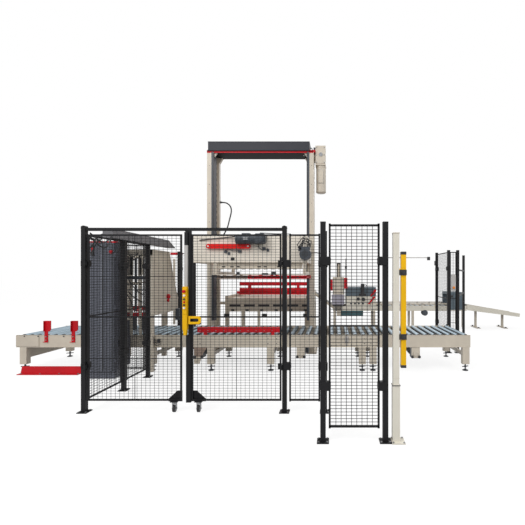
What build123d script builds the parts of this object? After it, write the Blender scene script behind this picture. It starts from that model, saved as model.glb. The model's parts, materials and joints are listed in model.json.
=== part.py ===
from build123d import *
import math
import os

os.makedirs("parts", exist_ok=True)

# Sizes in millimetres. X runs along the pallet line, Y away from the front gates, Z up from the floor.

# Pallet conveyor
line_left = -5650
line_right = 2250
line_front = -1455
line_width = 1180
beam_top = 626
beam_height = 214
beam_plate = 8
beam_lip = 30
stack_start = -2390
bridge_start = -1090
discharge_start = 465
roller_radius = 42
run_gap = 0.3
roller_pitch = 138
roller_top = 636
leg_width = 120
leg_depth = 90
foot_height = 117
foot_radius = 42

# Portal
column_width = 95
column_depth = 457
column_height = 4290
left_column_x = -2820
right_column_x = -645
column_front = -37
rail_width = 55
rail_depth = 170
flange = 52
header_height = 180
header_plate = 40

# Stacking head
head_left = -2740
head_right = -600
head_front = -1285
head_low = 1893
head_high = 2380
head_plate = 12
door_low = 1600
door_thick = 62
door_gap = 6

# Fence
fence_front = -3352
near_front = -4140
fence_left = -3170
post_size = 54
post_height = 2200
gate_post_height = 2260
panel_low = 138
panel_high = 2166
frame_tube = 20
bar_size = 6
mesh_columns = 2
mesh_rows = 4
left_gate_width = 1150
right_gate_width = 1096
wheel_radius = 43

# Bag line
bag_front = 3500
bag_width = 660
bag_top = 720
bag_left = -140
bag_right = 4000
infeed_right = 5650
row_table_top = 1135
row_apron = 295
press_left = 260
press_right = 1190

beam_bottom = beam_top - beam_height
wheel_z = wheel_radius + 1
line_back = line_front + line_width
line_mid = line_front + line_width / 2
roller_z = roller_top - roller_radius
head_mid = (head_left + head_right) / 2
bag_back = bag_front + bag_width
bag_legs = (bag_left + 10, 1100, 2300, bag_right - 140)


def block(x0, x1, y0, y1, z0, z1, mode=Mode.ADD):
    """A plain block between two opposite corners."""
    with Locations(((x0 + x1) / 2, (y0 + y1) / 2, (z0 + z1) / 2)):
        Box(x1 - x0, y1 - y0, z1 - z0, mode=mode)


def rod(axis, first, second, start, end, radius, mode=Mode.ADD):
    """A round bar along X, Y or Z, at the other two coordinates given first and second."""
    mid = (start + end) / 2
    place = {
        "X": Location((mid, first, second), (0, 90, 0)),
        "Y": Location((first, mid, second), (90, 0, 0)),
        "Z": Location((first, second, mid)),
    }
    with Locations(place[axis]):
        Cylinder(radius, end - start, mode=mode)


def plate_xz(points, y0, y1, mode=Mode.ADD):
    """A flat plate whose outline lies in the X-Z plane, from y0 to y1."""
    with BuildSketch(Plane.XZ.offset(-y1)) as outline:
        with BuildLine():
            Polyline(*points, close=True)
        make_face()
    extrude(outline.sketch, amount=y1 - y0, mode=mode)


def plate_yz(points, x0, x1, mode=Mode.ADD):
    """A flat plate whose outline lies in the Y-Z plane, from x0 to x1."""
    with BuildSketch(Plane.YZ.offset(x0)) as outline:
        with BuildLine():
            Polyline(*points, close=True)
        make_face()
    extrude(outline.sketch, amount=x1 - x0, mode=mode)


def save(piece, name):
    """Labels a finished piece and writes its file."""
    piece.part.label = name
    export_step(piece.part, "parts/" + name + ".step")


def side_beams(x0, x1, y0, y1, low, high, plate, lip):
    """Two channel beams facing each other, open towards the rollers, with a tie at each end."""
    for face, inner in ((y0, y0 + plate), (y1 - plate, y1)):
        block(x0, x1, face, inner, low, high)
    for inner, face in ((y0 + plate, y0 + plate + lip), (y1 - plate - lip, y1 - plate)):
        block(x0, x1, inner, face, low, low + plate)
    for x in (x0 + 40, x1 - 40 - 30):
        block(x, x + 30, y0 + plate, y1 - plate, low + plate, low + plate + 60)


def roller_row(x0, x1, count, y0, y1, z, radius, sides):
    """Parallel rollers between two side beams, spread evenly over a length, each with a flat on top."""
    step = (x1 - x0) / count
    with BuildSketch(Plane.XZ.offset(-y1)) as drums:
        with Locations(((x0 + x1) / 2, z)):
            with GridLocations(step, 0, count, 1):
                RegularPolygon(radius, sides, major_radius=False, rotation=180 / sides)
    extrude(drums.sketch, amount=y1 - y0)


def barrel(axis, first, second, start, end, radius, sides):
    """A bar with a few flat sides along X, Y or Z, where a round one would only cost more faces."""
    plane, spot = {
        "X": (Plane.YZ.offset(start), (first, second)),
        "Y": (Plane.XZ.offset(-end), (first, second)),
        "Z": (Plane.XY.offset(start), (first, second)),
    }[axis]
    with BuildSketch(plane) as outline:
        with Locations(spot):
            RegularPolygon(radius, sides, rotation=180 / sides)
    extrude(outline.sketch, amount=end - start)


def roller_count(x0, x1):
    """As many rollers as the pitch allows in a length."""
    return round((x1 - x0) / roller_pitch)


def fence_panel(length, low, high, tube, columns, rows):
    """A tube frame with coarse bars across it, from the local origin along local X."""
    with Locations((length / 2, 0, (low + high) / 2)):
        Box(length, tube, high - low)
        Box(length - 2 * tube, tube, high - low - 2 * tube, mode=Mode.SUBTRACT)
        with GridLocations((length - tube) / columns, 0, columns - 1, 1):
            Box(bar_size, bar_size, high - low - tube)
    inner = high - low - tube
    for row in range(1, rows):
        z = low + tube / 2 + inner * row / rows
        with Locations((length / 2, 0, z)):
            Box(length - tube, bar_size, bar_size)


def heading(run):
    """The angle of a plan direction, in degrees from X towards Y."""
    return math.degrees(math.atan2(run.Y, run.X))


def post(x, y, height, size, base):
    """A square fence post on its base plate."""
    block(x - size / 2, x + size / 2, y - size / 2, y + size / 2, 0, height)
    block(x - base / 2, x + base / 2, y - base / 2, y + base / 2, 0, 10)


def hinge_pins(x, y, reach_x, reach_y, levels):
    """Fixed half of a hinge: a pin between two lugs at each level, the lugs reaching back to what carries them."""
    for z in levels:
        rod("Z", x, y, z - 40, z + 40, 6)
        for low in (z - 40, z + 28):
            block(min(x - 6, reach_x), max(x + 6, reach_x), min(y - 6, reach_y), max(y + 6, reach_y), low, low + 12)


def hinge_knuckles(x, y, reach_x, reach_y, levels):
    """Turning half of a hinge: a sleeve round each pin, with an ear reaching to the door."""
    for z in levels:
        block(min(x, reach_x), max(x, reach_x), min(y, reach_y), max(y, reach_y), z - 22, z + 22)
        rod("Z", x, y, z - 22, z + 22, 11)
    for z in levels:
        rod("Z", x, y, z - 23, z + 23, 6.05, mode=Mode.SUBTRACT)


# Side beams of the pallet conveyor, one piece for each section.
gap = run_gap
sections = {
    "loading": [(line_left, stack_start - gap)],
    "stacking": [(stack_start, bridge_start - gap), (bridge_start, discharge_start - gap)],
    "discharge": [(discharge_start, line_right)],
}
for section, spans in sections.items():
    with BuildPart() as beams:
        for start, end in spans:
            side_beams(start, end, line_front, line_back, beam_bottom, beam_top, beam_plate, beam_lip)
        if section == "loading":
            # The closed box at the far left end.
            block(line_left, line_left + 12, line_front + beam_plate, line_back - beam_plate, beam_bottom, 560)
    save(beams, section + "_frame")

# Rollers, each drum seated between the side beams.
roller_y = (line_front + beam_plate, line_back - beam_plate)
for section, spans in sections.items():
    with BuildPart() as rollers:
        for start, end in spans:
            first = start + 40 if section == "loading" else start
            roller_row(first, end, roller_count(first, end), *roller_y, roller_z, roller_radius, 16)
    save(rollers, section + "_rollers")

# Legs of the pallet conveyor and their adjustable feet.
leg_spots = [-5530, -4400, -3300, -2270, -1228, 372, 560, 2176]
leg_rows = [line_front + leg_depth / 2, line_back - leg_depth / 2]
with BuildPart() as conveyor_legs:
    for x in leg_spots:
        for y in leg_rows:
            block(x - leg_width / 2, x + leg_width / 2, y - leg_depth / 2, y + leg_depth / 2, foot_height, beam_bottom)
        # The first pair is tied by a plate, the others by a bar.
        half, low, high = (5, 210, beam_bottom) if x == leg_spots[0] else (20, 240, 300)
        block(x - half, x + half, leg_rows[0] + leg_depth / 2, leg_rows[1] - leg_depth / 2, low, high)
save(conveyor_legs, "conveyor_legs")

with BuildPart() as levelling_feet:
    for x in leg_spots:
        for y in leg_rows:
            barrel("Z", x, y, 0, 14, foot_radius, 12)
            block(x - 9, x + 9, y - 9, y + 9, 14, foot_height)
    for x in bag_legs:
        for y in (bag_front, bag_back - 70):
            barrel("Z", x + 35, y + 35, 0, 60, 30, 8)
save(levelling_feet, "levelling_feet")

# Drive motors hung under the conveyor, each with its gearbox against the near beam.
with BuildPart() as conveyor_drives:
    for x in (-2480, -700, 1300):
        block(x - 70, x + 70, line_front + beam_plate, line_front + 170, beam_bottom - 190, beam_bottom)
        barrel("Y", x, beam_bottom - 110, line_front + 170, line_front + 470, 75, 16)
save(conveyor_drives, "conveyor_drives")

# Low floor rail that keeps fork trucks off the conveyor.
with BuildPart() as fork_guard:
    block(-5420, -4400, line_front - 260, line_front - 100, 0, 12)
    plate_yz(
        [
            (line_front - 180, 12),
            (line_front - 172, 12),
            (line_front - 142, 120),
            (line_front - 150, 120),
        ],
        -5420,
        -4400,
    )
save(fork_guard, "fork_guard")

# Upright stops bolted to the near beam of the loading section, ahead of the magazine.
mag_left = -4420
with BuildPart() as pallet_stops:
    for x in (mag_left - 730, mag_left - 260):
        block(x, x + 58, line_front - 12, line_front, 500, 690)
        nose = [(x + 5, 690), (x + 85, 690), (x + 110, 720), (x + 110, 875), (x + 5, 875)]
        plate_xz(nose, line_front - 12, line_front)
save(pallet_stops, "pallet_stops")

# Side guide along the pallet under the stacking head.
with BuildPart() as pallet_guide:
    block(-2510, -1040, line_front + 20, line_front + 28, 668, 758)
    block(-2510, -1040, line_front + 28, line_front + 70, 750, 758)
    for x in (-2360, -1190):
        block(x - 30, x + 30, line_front, line_front + 8, beam_top, 700)
        block(x - 30, x + 30, line_front + 8, line_front + 20, 680, 700)
save(pallet_guide, "pallet_guide")

# Pallet magazine over the loading section. Its rear frame is shorter than the near one.
mag_right = -3240
mag_rear_right = -3420
mag_post = 80
mag_front = line_front
mag_back = line_back
mag_top = 2110
mag_beam = 100
mag_guard = 6
fork_low = 940
fork_high = 1020
with BuildPart() as magazine_frame:
    for right, face in ((mag_right, mag_front - mag_post), (mag_rear_right, mag_back)):
        for x in (mag_left, right - mag_post):
            block(x, x + mag_post, face, face + mag_post, 0, mag_top)
        block(mag_left, right, face, face + mag_post, mag_top - mag_beam, mag_top)
        # Guide bars that the lifting forks run along.
        for x in (mag_left + mag_post, right - mag_post - 12):
            block(x, x + 12, face + 25, face + 55, 700, 1500)
    for x in (mag_left, mag_rear_right - mag_post):
        block(x, x + mag_post, mag_front, mag_back, mag_top - mag_beam, mag_top)
    # The guard plate on the right side, cut back at an angle towards the top.
    guard = [
        (mag_front - mag_post, 965),
        (mag_front + 835, 980),
        (mag_front + 935, 1000),
        (mag_front + 947, 1210),
        (mag_front + 841, 1402),
        (mag_front + 689, 1757),
        (mag_front + 560, mag_top),
        (mag_front - mag_post, mag_top),
    ]
    plate_yz(guard, mag_right, mag_right + mag_guard)
save(magazine_frame, "magazine_frame")

# Lifting forks of the magazine: a carriage on each side with two fork bars over the rollers.
with BuildPart() as magazine_forks:
    slot = 12 + run_gap
    for right, near in ((mag_right, mag_front - 60), (mag_rear_right, mag_back)):
        block(mag_left + mag_post + slot, right - mag_post - slot, near, near + 60, fork_low, fork_high)
    for x in (mag_left + 300, mag_rear_right - 380):
        block(x, x + 80, mag_front, mag_front + 220, fork_low, fork_low + 30)
        block(x, x + 80, mag_back - 220, mag_back, fork_low, fork_low + 30)
save(magazine_forks, "magazine_forks")

# Electrical cabinet outside the fence.
cab_left = -4090
cab_right = -3640
cab_front = -1953
cab_back = -1620
cab_top = 2200
door_hinges = (300, 1150, 2000)
with BuildPart() as cabinet_body:
    block(cab_left, cab_right, cab_front + 30, cab_back, 100, cab_top)
    block(cab_left + 40, cab_right - 40, cab_front + 34, cab_back, 140, cab_top - 40, mode=Mode.SUBTRACT)
    block(cab_left + 40, cab_right - 40, cab_front + 30, cab_front + 34, 140, cab_top - 40, mode=Mode.SUBTRACT)
    block(cab_left + 40, cab_right - 40, cab_back - 20, cab_back, 140, cab_top - 40)
    block(cab_left + 20, cab_right - 20, cab_front + 50, cab_back, 0, 100)
    block(cab_left + 30, cab_right, cab_back, cab_back + 120, 140, 890)
    hinge_pins(cab_right + 10, cab_front + 12, cab_right - 10, cab_front + 40, door_hinges)
save(cabinet_body, "cabinet_body")

with BuildPart() as cabinet_door:
    block(cab_left + 4, cab_right - 7, cab_front, cab_front + 24, 110, cab_top - 10)
    for z in door_hinges:
        block(cab_right - 16, cab_right - 6, cab_front - 1, cab_front + 25, z - 46, z + 46, mode=Mode.SUBTRACT)
    hinge_knuckles(cab_right + 10, cab_front + 12, cab_right - 16, cab_front + 6, door_hinges)
save(cabinet_door, "cabinet_door")

# Overhead cable trunking along the side fence, carried by the fence posts.
trunk_low = panel_high + 4
trunk_high = 2290
with BuildPart() as cable_trunking:
    block(fence_left - 60, fence_left + 70, -2900, -1210, trunk_low, trunk_high)
    plate_yz([(-1210, trunk_low), (-939, trunk_low), (-1210, trunk_high)], fence_left - 60, fence_left + 70)
    block(fence_left - 540, fence_left - 60, cab_front + 80, cab_front + 180, cab_top, trunk_high)
save(cable_trunking, "cable_trunking")

# Portal columns with a foot plate and gussets at the top.
for name, x in (("left_column", left_column_x), ("right_column", right_column_x)):
    with BuildPart() as column:
        block(x, x + column_width, column_front, column_front + column_depth, 20, column_height)
        block(x - 60, x + column_width + 60, column_front - 60, column_front + column_depth + 60, 0, 20)
        inner = x + column_width if name == "left_column" else x
        way = 1 if name == "left_column" else -1
        gusset = [
            (inner, column_height),
            (inner + way * 130, column_height),
            (inner + way * 40, column_height - 150),
            (inner, column_height - 150),
        ]
        plate_xz(gusset, column_front + column_depth - 90, column_front + column_depth)
        # Rear flange that reaches inwards and carries the hose.
        back = column_front + column_depth
        block(min(inner, inner + way * flange), max(inner, inner + way * flange), back - 100, back, 20, column_height)
    save(column, name)

with BuildPart() as guide_rails:
    for x in (left_column_x + column_width, right_column_x - rail_width):
        block(x, x + rail_width, column_front, column_front + rail_depth, 700, column_height)
save(guide_rails, "guide_rails")

# Header beam on its base plate.
with BuildPart() as header_base:
    block(
        left_column_x,
        -517,
        column_front,
        column_front + column_depth,
        column_height,
        column_height + header_plate,
    )
save(header_base, "header_base")

header_low = column_height + header_plate
with BuildPart() as header:
    block(
        left_column_x + 20,
        -640,
        column_front,
        column_front + column_depth,
        header_low,
        header_low + header_height,
    )
save(header, "header")

# Lift gearmotor on the right end of the portal.
with BuildPart() as lift_motor:
    block(-517, -300, column_front + 60, column_front + 320, column_height - 260, column_height + 155)
    barrel("Z", -400, column_front + 190, column_height - 830, column_height - 260, 106, 20)
    block(-550, -517, column_front + 120, column_front + 260, column_height - 160, column_height - 10)
save(lift_motor, "lift_motor")

# Stacking head: front panel, frame with its arms to the portal, drives and guard.
arm_back = column_front - 10
arm_width = 80
carriage_in = left_column_x + column_width + rail_width + 10
carriage_out = right_column_x - rail_width - 10
with BuildPart() as head_panel:
    block(head_left, head_right, head_front, head_front + head_plate, head_low, head_high)
save(head_panel, "head_panel")

frame_low = door_low + door_thick + 8
with BuildPart() as head_frame:
    back = head_front + head_plate
    for x in (head_left, head_right - arm_width):
        block(x, x + arm_width, back, arm_back, head_low, head_high)
        block(x, x + arm_width, back, back + 60, frame_low, head_low)
        block(x, x + arm_width, arm_back - 60, arm_back, frame_low, head_low)
        block(x, x + arm_width, back, arm_back, frame_low, frame_low + 60)
    block(head_left + arm_width, head_right - arm_width, back, back + 60, head_low, head_low + 80)
    block(head_left + arm_width, head_right - arm_width, back, back + 60, head_high - 80, head_high)
    block(head_left + arm_width, head_right - arm_width, arm_back - 80, arm_back, head_low, head_low + 120)
    block(head_left + arm_width, head_right - arm_width, back, back + 40, frame_low, frame_low + 60)
    block(head_left + arm_width, head_right - arm_width, arm_back - 40, arm_back, frame_low, frame_low + 60)
    block(carriage_in, carriage_in + 25, arm_back - 240, column_front + 300, frame_low, head_high)
    block(carriage_out - 25, carriage_out, arm_back - 240, column_front + 300, frame_low, head_high)
    # Guide wheels that run on the column rails.
    for z in (frame_low + 70, head_high - 70):
        barrel("Y", carriage_in - 10 + run_gap + 40, z, column_front + 20, column_front + 90, 40, 16)
        barrel("Y", carriage_out + 10 - run_gap - 40, z, column_front + 20, column_front + 90, 40, 16)
save(head_frame, "head_frame")

with BuildPart() as head_drives:
    barrel("X", head_front - 110, 2300, -1830, -1480, 78, 16)
    block(-1480, -1350, head_front - 190, head_front, 2230, 2385)
    barrel("Y", -615, 2027, head_front - 330, head_front - 90, 88, 16)
    block(-700, -575, head_front - 90, head_front, 1945, 2110)
save(head_drives, "head_drives")

with BuildPart() as chain_guard:
    block(-2388, -1609, head_front - 60, head_front, 2140, 2217)
    fillet(chain_guard.edges().filter_by(Axis.Y), 38)
save(chain_guard, "chain_guard")

# The two halves of the layer plate, hung in the frame and parting sideways.
door_front = head_front + 10
door_back = arm_back - 4
door_end = 80
for name, x0, x1 in (
    ("layer_door_left", head_left + door_end, head_mid - door_gap / 2),
    ("layer_door_right", head_mid + door_gap / 2, head_right - door_end + 70),
):
    with BuildPart() as door:
        block(x0, x1, door_front, door_back, door_low + 20, door_low + 40)
        block(x0, x1, door_front, door_front + 20, door_low, door_low + door_thick)
        block(x0, x1, door_back - 20, door_back, door_low, door_low + door_thick)
        # Slide shoes that run under the bars of the head frame.
        shoe_top = frame_low - run_gap
        inner = x1 - 260 if name == "layer_door_left" else x0 + 200
        for x in (inner, x0 + (x1 - x0) / 2 - 30):
            for y in (door_front, door_back - 20):
                block(x, x + 60, y, y + 20, door_low + door_thick, shoe_top)
    save(door, name)

# Where the two gates hang.
gate_gap = 12
left_hinge = fence_left + post_size / 2
right_hinge = -730 - post_size / 2
gate_hinges = (560, 1810)
gate_pins = {"left_gate": left_hinge + 6, "right_gate": right_hinge - 6}

# Fence posts of the front, the sides and the far right.
front_posts = [
    (fence_left, fence_front, gate_post_height),
    (fence_left, -2515, trunk_low),
    (fence_left, -1825, trunk_low),
    (-730, fence_front, gate_post_height),
    (-240, fence_front, post_height),
    (-240, near_front, post_height),
    (385, near_front, post_height),
]
back_posts = [(-3640, 495), (-3290, 495), (2345, 45), (2540, 45), (2345, 945), (3406, 2115)]
with BuildPart() as fence_posts:
    for x, y, height in front_posts:
        post(x, y, height, post_size, 120)
    hinge_pins(gate_pins["left_gate"], fence_front - 42, left_hinge - 20, fence_front - 24, gate_hinges)
    hinge_pins(gate_pins["right_gate"], fence_front - 42, right_hinge + 20, fence_front - 24, gate_hinges)
save(fence_posts, "fence_posts")

with BuildPart() as rear_posts:
    for x, y in back_posts:
        post(x, y, post_height, post_size, 120)
    # Two level guard bars between the last two posts on the right.
    first, last = Vector(*back_posts[-3]), Vector(*back_posts[-1])
    with Locations(Location((first.X, first.Y, 0), (0, 0, heading(last - first)))):
        for z in (1200, 1780):
            with Locations(((last - first).length / 2, 0, z)):
                Box((last - first).length, 24, 36)
    # The narrow mesh panel between the pair of posts at the corner.
    first, last = Vector(*back_posts[2]), Vector(*back_posts[3])
    with Locations((first.X + post_size / 2, first.Y)):
        wide = last.X - first.X - post_size
        fence_panel(wide, panel_low, panel_high, frame_tube, mesh_columns, mesh_rows)
save(rear_posts, "rear_posts")

# Fixed mesh panels: name, the two posts they hang between, low and high edges.
half = post_size / 2
panels = {
    "side_panel_front": ((fence_left, fence_front), (fence_left, -2515)),
    "side_panel_rear": ((fence_left, -2515), (fence_left, -1825)),
    "cross_panel": ((cab_right - half, -1825), (fence_left, -1825)),
    "narrow_panel": ((-730, fence_front), (-240, fence_front)),
    "return_panel": ((-240, near_front), (-240, fence_front)),
    "near_panel": ((-240, near_front), (385, near_front)),
    "rear_panel": ((-3640, 495), (-3290, 495)),
    "right_panel": ((2345, 45), (2345, 945)),
}
for name, (first, second) in panels.items():
    run = Vector(second[0] - first[0], second[1] - first[1])
    angle = heading(run)
    with BuildPart() as panel:
        with Locations(Location((first[0], first[1], 0), (0, 0, angle))):
            with Locations((half, 0)):
                wide = run.length - post_size
                fence_panel(wide, panel_low, panel_high, frame_tube, mesh_columns, mesh_rows)
    save(panel, name)

# Rail over the gates, from the corner post to the gate post.
rail_z = 2226
with BuildPart() as overhead_rail:
    block(fence_left + half, -730 - half, fence_front - 18, fence_front + 18, rail_z - 18, rail_z + 18)
save(overhead_rail, "overhead_rail")

# Light-curtain post and its sender.
with BuildPart() as light_post:
    block(460, 521, near_front - 30, near_front + 30, 10, 2090)
    block(454, 527, near_front - 36, near_front + 36, 10, 576)
    block(445, 577, near_front - 73, near_front + 73, 0, 10)
save(light_post, "light_post")

with BuildPart() as light_curtain:
    block(540, 590, near_front - 25, near_front + 25, 750, 1896)
    for z in (1053, 1710):
        block(521, 540, near_front - 30, near_front + 30, z - 25, z + 25)
save(light_curtain, "light_curtain")

# Bag line at the back: level frame, rollers, then the sloping infeed belt.
with BuildPart() as line_frame:
    block(bag_left, bag_right, bag_front, bag_front + 20, bag_top - 160, bag_top)
    block(bag_left, bag_right, bag_back - 20, bag_back, bag_top - 160, bag_top)
    for x in bag_legs:
        for y in (bag_front, bag_back - 70):
            block(x, x + 70, y, y + 70, 60, bag_top - 160)
        block(x, x + 70, bag_front + 20, bag_back - 20, bag_top - 160, bag_top - 100)
save(line_frame, "line_frame")

with BuildPart() as line_rollers:
    roller_row(bag_left + 40, bag_right - 20, 24, bag_front + 20, bag_back - 20, bag_top - 40, 36, 12)
save(line_rollers, "line_rollers")

table_left = -2600
table_right = -700
table_front = 520
rise_left = table_right
rise_right = bag_left - 4
runs = [
    (bag_right + 4, 760, infeed_right, 470, 70, 50),
    (rise_left, row_table_top, rise_right, bag_top, 90, 90),
]
with BuildPart() as infeed_frame:
    for x0, z0, x1, z1, deep0, deep1 in runs:
        slope = [(x0, z0), (x1, z1), (x1, z1 - deep1), (x0, z0 - deep0)]
        plate_xz(slope, bag_front, bag_front + 12)
        plate_xz(slope, bag_back - 12, bag_back)
    for x in (4400, 5250):
        drop = 690 - (x - bag_right) * 0.1636
        block(x - 30, x + 30, bag_front + 12, bag_back - 12, drop - 60, drop)
        block(x - 30, x + 30, bag_front + 300, bag_front + 360, 20, drop - 60)
        block(x - 60, x + 60, bag_front + 60, bag_back - 60, 0, 20)
    for y in (bag_front, bag_back - 12):
        block(rise_right, bag_left, y, y + 12, bag_top - 90, bag_top)
        block(bag_right, bag_right + 4, y, y + 12, bag_top - 50, bag_top)
save(infeed_frame, "infeed_frame")

with BuildPart() as infeed_belt:
    for x0, z0, x1, z1, deep0, deep1 in runs:
        belt = [(x0 + 16, z0 - 12), (x1 - 10, z1 - 8), (x1 - 10, z1 - deep1 + 12), (x0 + 16, z0 - deep0 + 12)]
        plate_xz(belt, bag_front + 12, bag_back - 12)
save(infeed_belt, "infeed_belt")

# Bag press over the line: cream side plates, a dark cover and a tray under the line.
with BuildPart() as press_frame:
    for y in (bag_front - 8, bag_back):
        block(press_left, press_right, y, y + 8, 570, 1020)
save(press_frame, "press_frame")

with BuildPart() as press_cover:
    block(press_left, press_right, bag_front - 8, bag_back + 8, 1020, 1290)
    block(100, 790, bag_front, bag_back, 400, bag_top - 160)
    for y in (bag_front - 40, bag_back):
        block(3450, 3850, y, y + 40, 600, 1060)
    block(3450, 3850, bag_front - 40, bag_back + 40, 1060, 1140)
save(press_cover, "press_cover")

# Bag turner: a stand on the bag line and a head that turns over the bag.
turn_x = 40
turn_y = bag_front + bag_width / 2
with BuildPart() as turner_stand:
    for y in (bag_front - 40, bag_back):
        block(turn_x - 60, turn_x + 60, y, y + 40, 400, 1560)
    block(turn_x - 60, turn_x + 60, bag_front, bag_back, 1480, 1560)
    rod("Z", turn_x, turn_y, 1560, 2020, 62)
save(turner_stand, "turner_stand")

with BuildPart() as turner_head:
    block(turn_x - 140, turn_x + 140, turn_y - 120, turn_y + 120, 1180, 1440)
    rod("Z", turn_x, turn_y, 1440, 1480 - run_gap, 50)
    for x in (turn_x - 180, turn_x + 160):
        block(x, x + 20, turn_y - 100, turn_y + 100, 740, 1420)
        block(min(x, turn_x), max(x + 20, turn_x), turn_y - 40, turn_y + 40, 1300, 1340)
save(turner_head, "turner_head")

# Row table behind the portal, with the pusher that feeds the stacking head.
table_back = bag_back
with BuildPart() as row_table:
    top = row_table_top
    block(table_left, table_right, table_front, table_back, top - 20, top)
    for y in (table_front, table_back - 20):
        block(table_left, table_right, y, y + 20, top - row_apron, top)
    for x in (table_left, table_right - 20):
        block(x, x + 20, table_front, table_back, top - row_apron, top)
    for x in (table_left, table_right - 80):
        for y in (table_front, 2000, table_back - 80):
            block(x, x + 80, y, y + 80, 0, top - 20)
    for x in (table_left, table_right - 60):
        block(x, x + 60, table_front, table_back, top, top + 60)
    # Brackets that bolt the table to the backs of the two columns.
    behind = column_front + column_depth
    for x0, x1, x2, x3 in (
        (left_column_x + 20, left_column_x + 75, left_column_x + 20, table_left),
        (right_column_x + 20, right_column_x + 75, table_right, right_column_x + 75),
    ):
        block(x0, x1, behind, table_front + 20, 1000, 1060)
        block(x2, x3, table_front, table_front + 20, 1000, 1060)
save(row_table, "row_table")

with BuildPart() as row_pusher:
    runner = row_table_top + 60 + run_gap
    for low, high in ((1170, 1210), (1250, 1340), (1400, 1490)):
        block(table_left + 80, table_right - 80, 1500, 1540, low, high)
    for x in (table_left + 300, table_right - 360):
        block(x, x + 60, 1540, 1600, 1170, 1490)
    block(table_left, table_right, 1540, 1640, runner, runner + 60)
save(row_pusher, "row_pusher")

# Swinging gates with a stiffening plate and a caster at the free end.
left_start = left_hinge + gate_gap
right_end = right_hinge - gate_gap
gusset_width = 170
for name, start, width, free, way in (
    ("left_gate", left_start, left_gate_width, left_start + left_gate_width, -1),
    ("right_gate", right_end - right_gate_width, right_gate_width, right_end - right_gate_width, 1),
):
    with BuildPart() as gate:
        with Locations((start, fence_front)):
            fence_panel(width, panel_low, panel_high, frame_tube, mesh_columns, mesh_rows)
        outline = [
            (free, panel_low + 120),
            (free + way * 60, panel_low + 120),
            (free + way * gusset_width, panel_low + 20),
            (free + way * gusset_width, panel_low - 12),
            (free, panel_low - 12),
        ]
        plate_xz(outline, fence_front + frame_tube / 2, fence_front + frame_tube / 2 + 6)
        caster_x = free + way * 90
        block(caster_x - 45, caster_x + 45, fence_front - 35, fence_front + 35, panel_low - 12, panel_low)
        edge = start if name == "left_gate" else start + width
        hinge_knuckles(gate_pins[name], fence_front - 42, edge - way * 14, fence_front, gate_hinges)
        if name == "right_gate":
            # The pull handle of the lock.
            grip = fence_front - frame_tube / 2
            block(start - 8, start + 120, grip - 40, grip, 1070, 1165)
            block(start + 15, start + 97, grip - 40, grip, 1098, 1137, mode=Mode.SUBTRACT)
    save(gate, name)

    with BuildPart() as fork:
        top = panel_low - 12
        rod("Z", caster_x, fence_front, top - 14, top, 32)
        for x in (caster_x - 24, caster_x + 18):
            block(x, x + 6, fence_front - 18, fence_front + 18, wheel_z - 12, top - 14)
        rod("X", fence_front, wheel_z, caster_x - 18, caster_x + 18, 8)
    save(fork, name.replace("gate", "caster"))

    with BuildPart() as wheel:
        rod("X", fence_front, wheel_z, caster_x - 13, caster_x + 13, wheel_radius)
        rod("X", fence_front, wheel_z, caster_x - 13, caster_x + 13, 8.05, mode=Mode.SUBTRACT)
    save(wheel, name.replace("gate", "wheel"))

# Lock box hung from the rail over the gates, in the gap between them.
lock_left = left_start + left_gate_width + 26
lock_right = right_end - right_gate_width - 20
with BuildPart() as gate_lock:
    block(lock_left, lock_right, fence_front - 72, fence_front - 18, 950, 1530)
    block(lock_left + 10, lock_right - 10, fence_front - 18, fence_front + 18, 1400, rail_z - 18)
save(gate_lock, "gate_lock")

# Hose loop from the flange of the left column down to the carriage of the stacking head.
hose_radius = 14
hose_route = [
    (left_column_x + column_width + flange, 405, 3302),
    (-2592, 405, 3302),
    (-2520, 404, 3284),
    (-2462, 400, 3238),
    (-2426, 393, 3172),
    (-2418, 383, 3096),
    (-2432, 368, 3000),
    (-2458, 348, 2880),
    (-2484, 322, 2735),
    (-2536, 294, 2610),
    (-2590, 270, 2512),
    (-2630, 252, 2445),
    (-2648, 243, head_high + 4.9),
]
route = [Vector(*point) for point in hose_route]
radii = []
for before, here, after in zip(route, route[1:], route[2:]):
    way_in = here - before
    way_out = after - here
    half_turn = math.radians(way_in.get_angle(way_out)) / 2
    radii.append(0.45 * min(way_in.length, way_out.length) / math.tan(half_turn))
print("hose bend radii:", [round(radius) for radius in radii])
with BuildPart() as lift_hose:
    with BuildLine() as path:
        FilletPolyline(*route, radius=radii)
    with BuildSketch(Plane(path.line @ 0, z_dir=path.line % 0)):
        RegularPolygon(hose_radius, 8)
    sweep()
hose_length = sum(edge.length for edge in path.edges())
area = 2 * math.sqrt(2) * hose_radius**2
print("hose length and volume against section:", hose_length, lift_hose.part.volume / (area * hose_length))
save(lift_hose, "lift_hose")
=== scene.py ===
import json
import math
from itertools import product

import bmesh
import bpy
from bpy.props import FloatProperty, PointerProperty, StringProperty
from mathutils import Matrix, Vector


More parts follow.
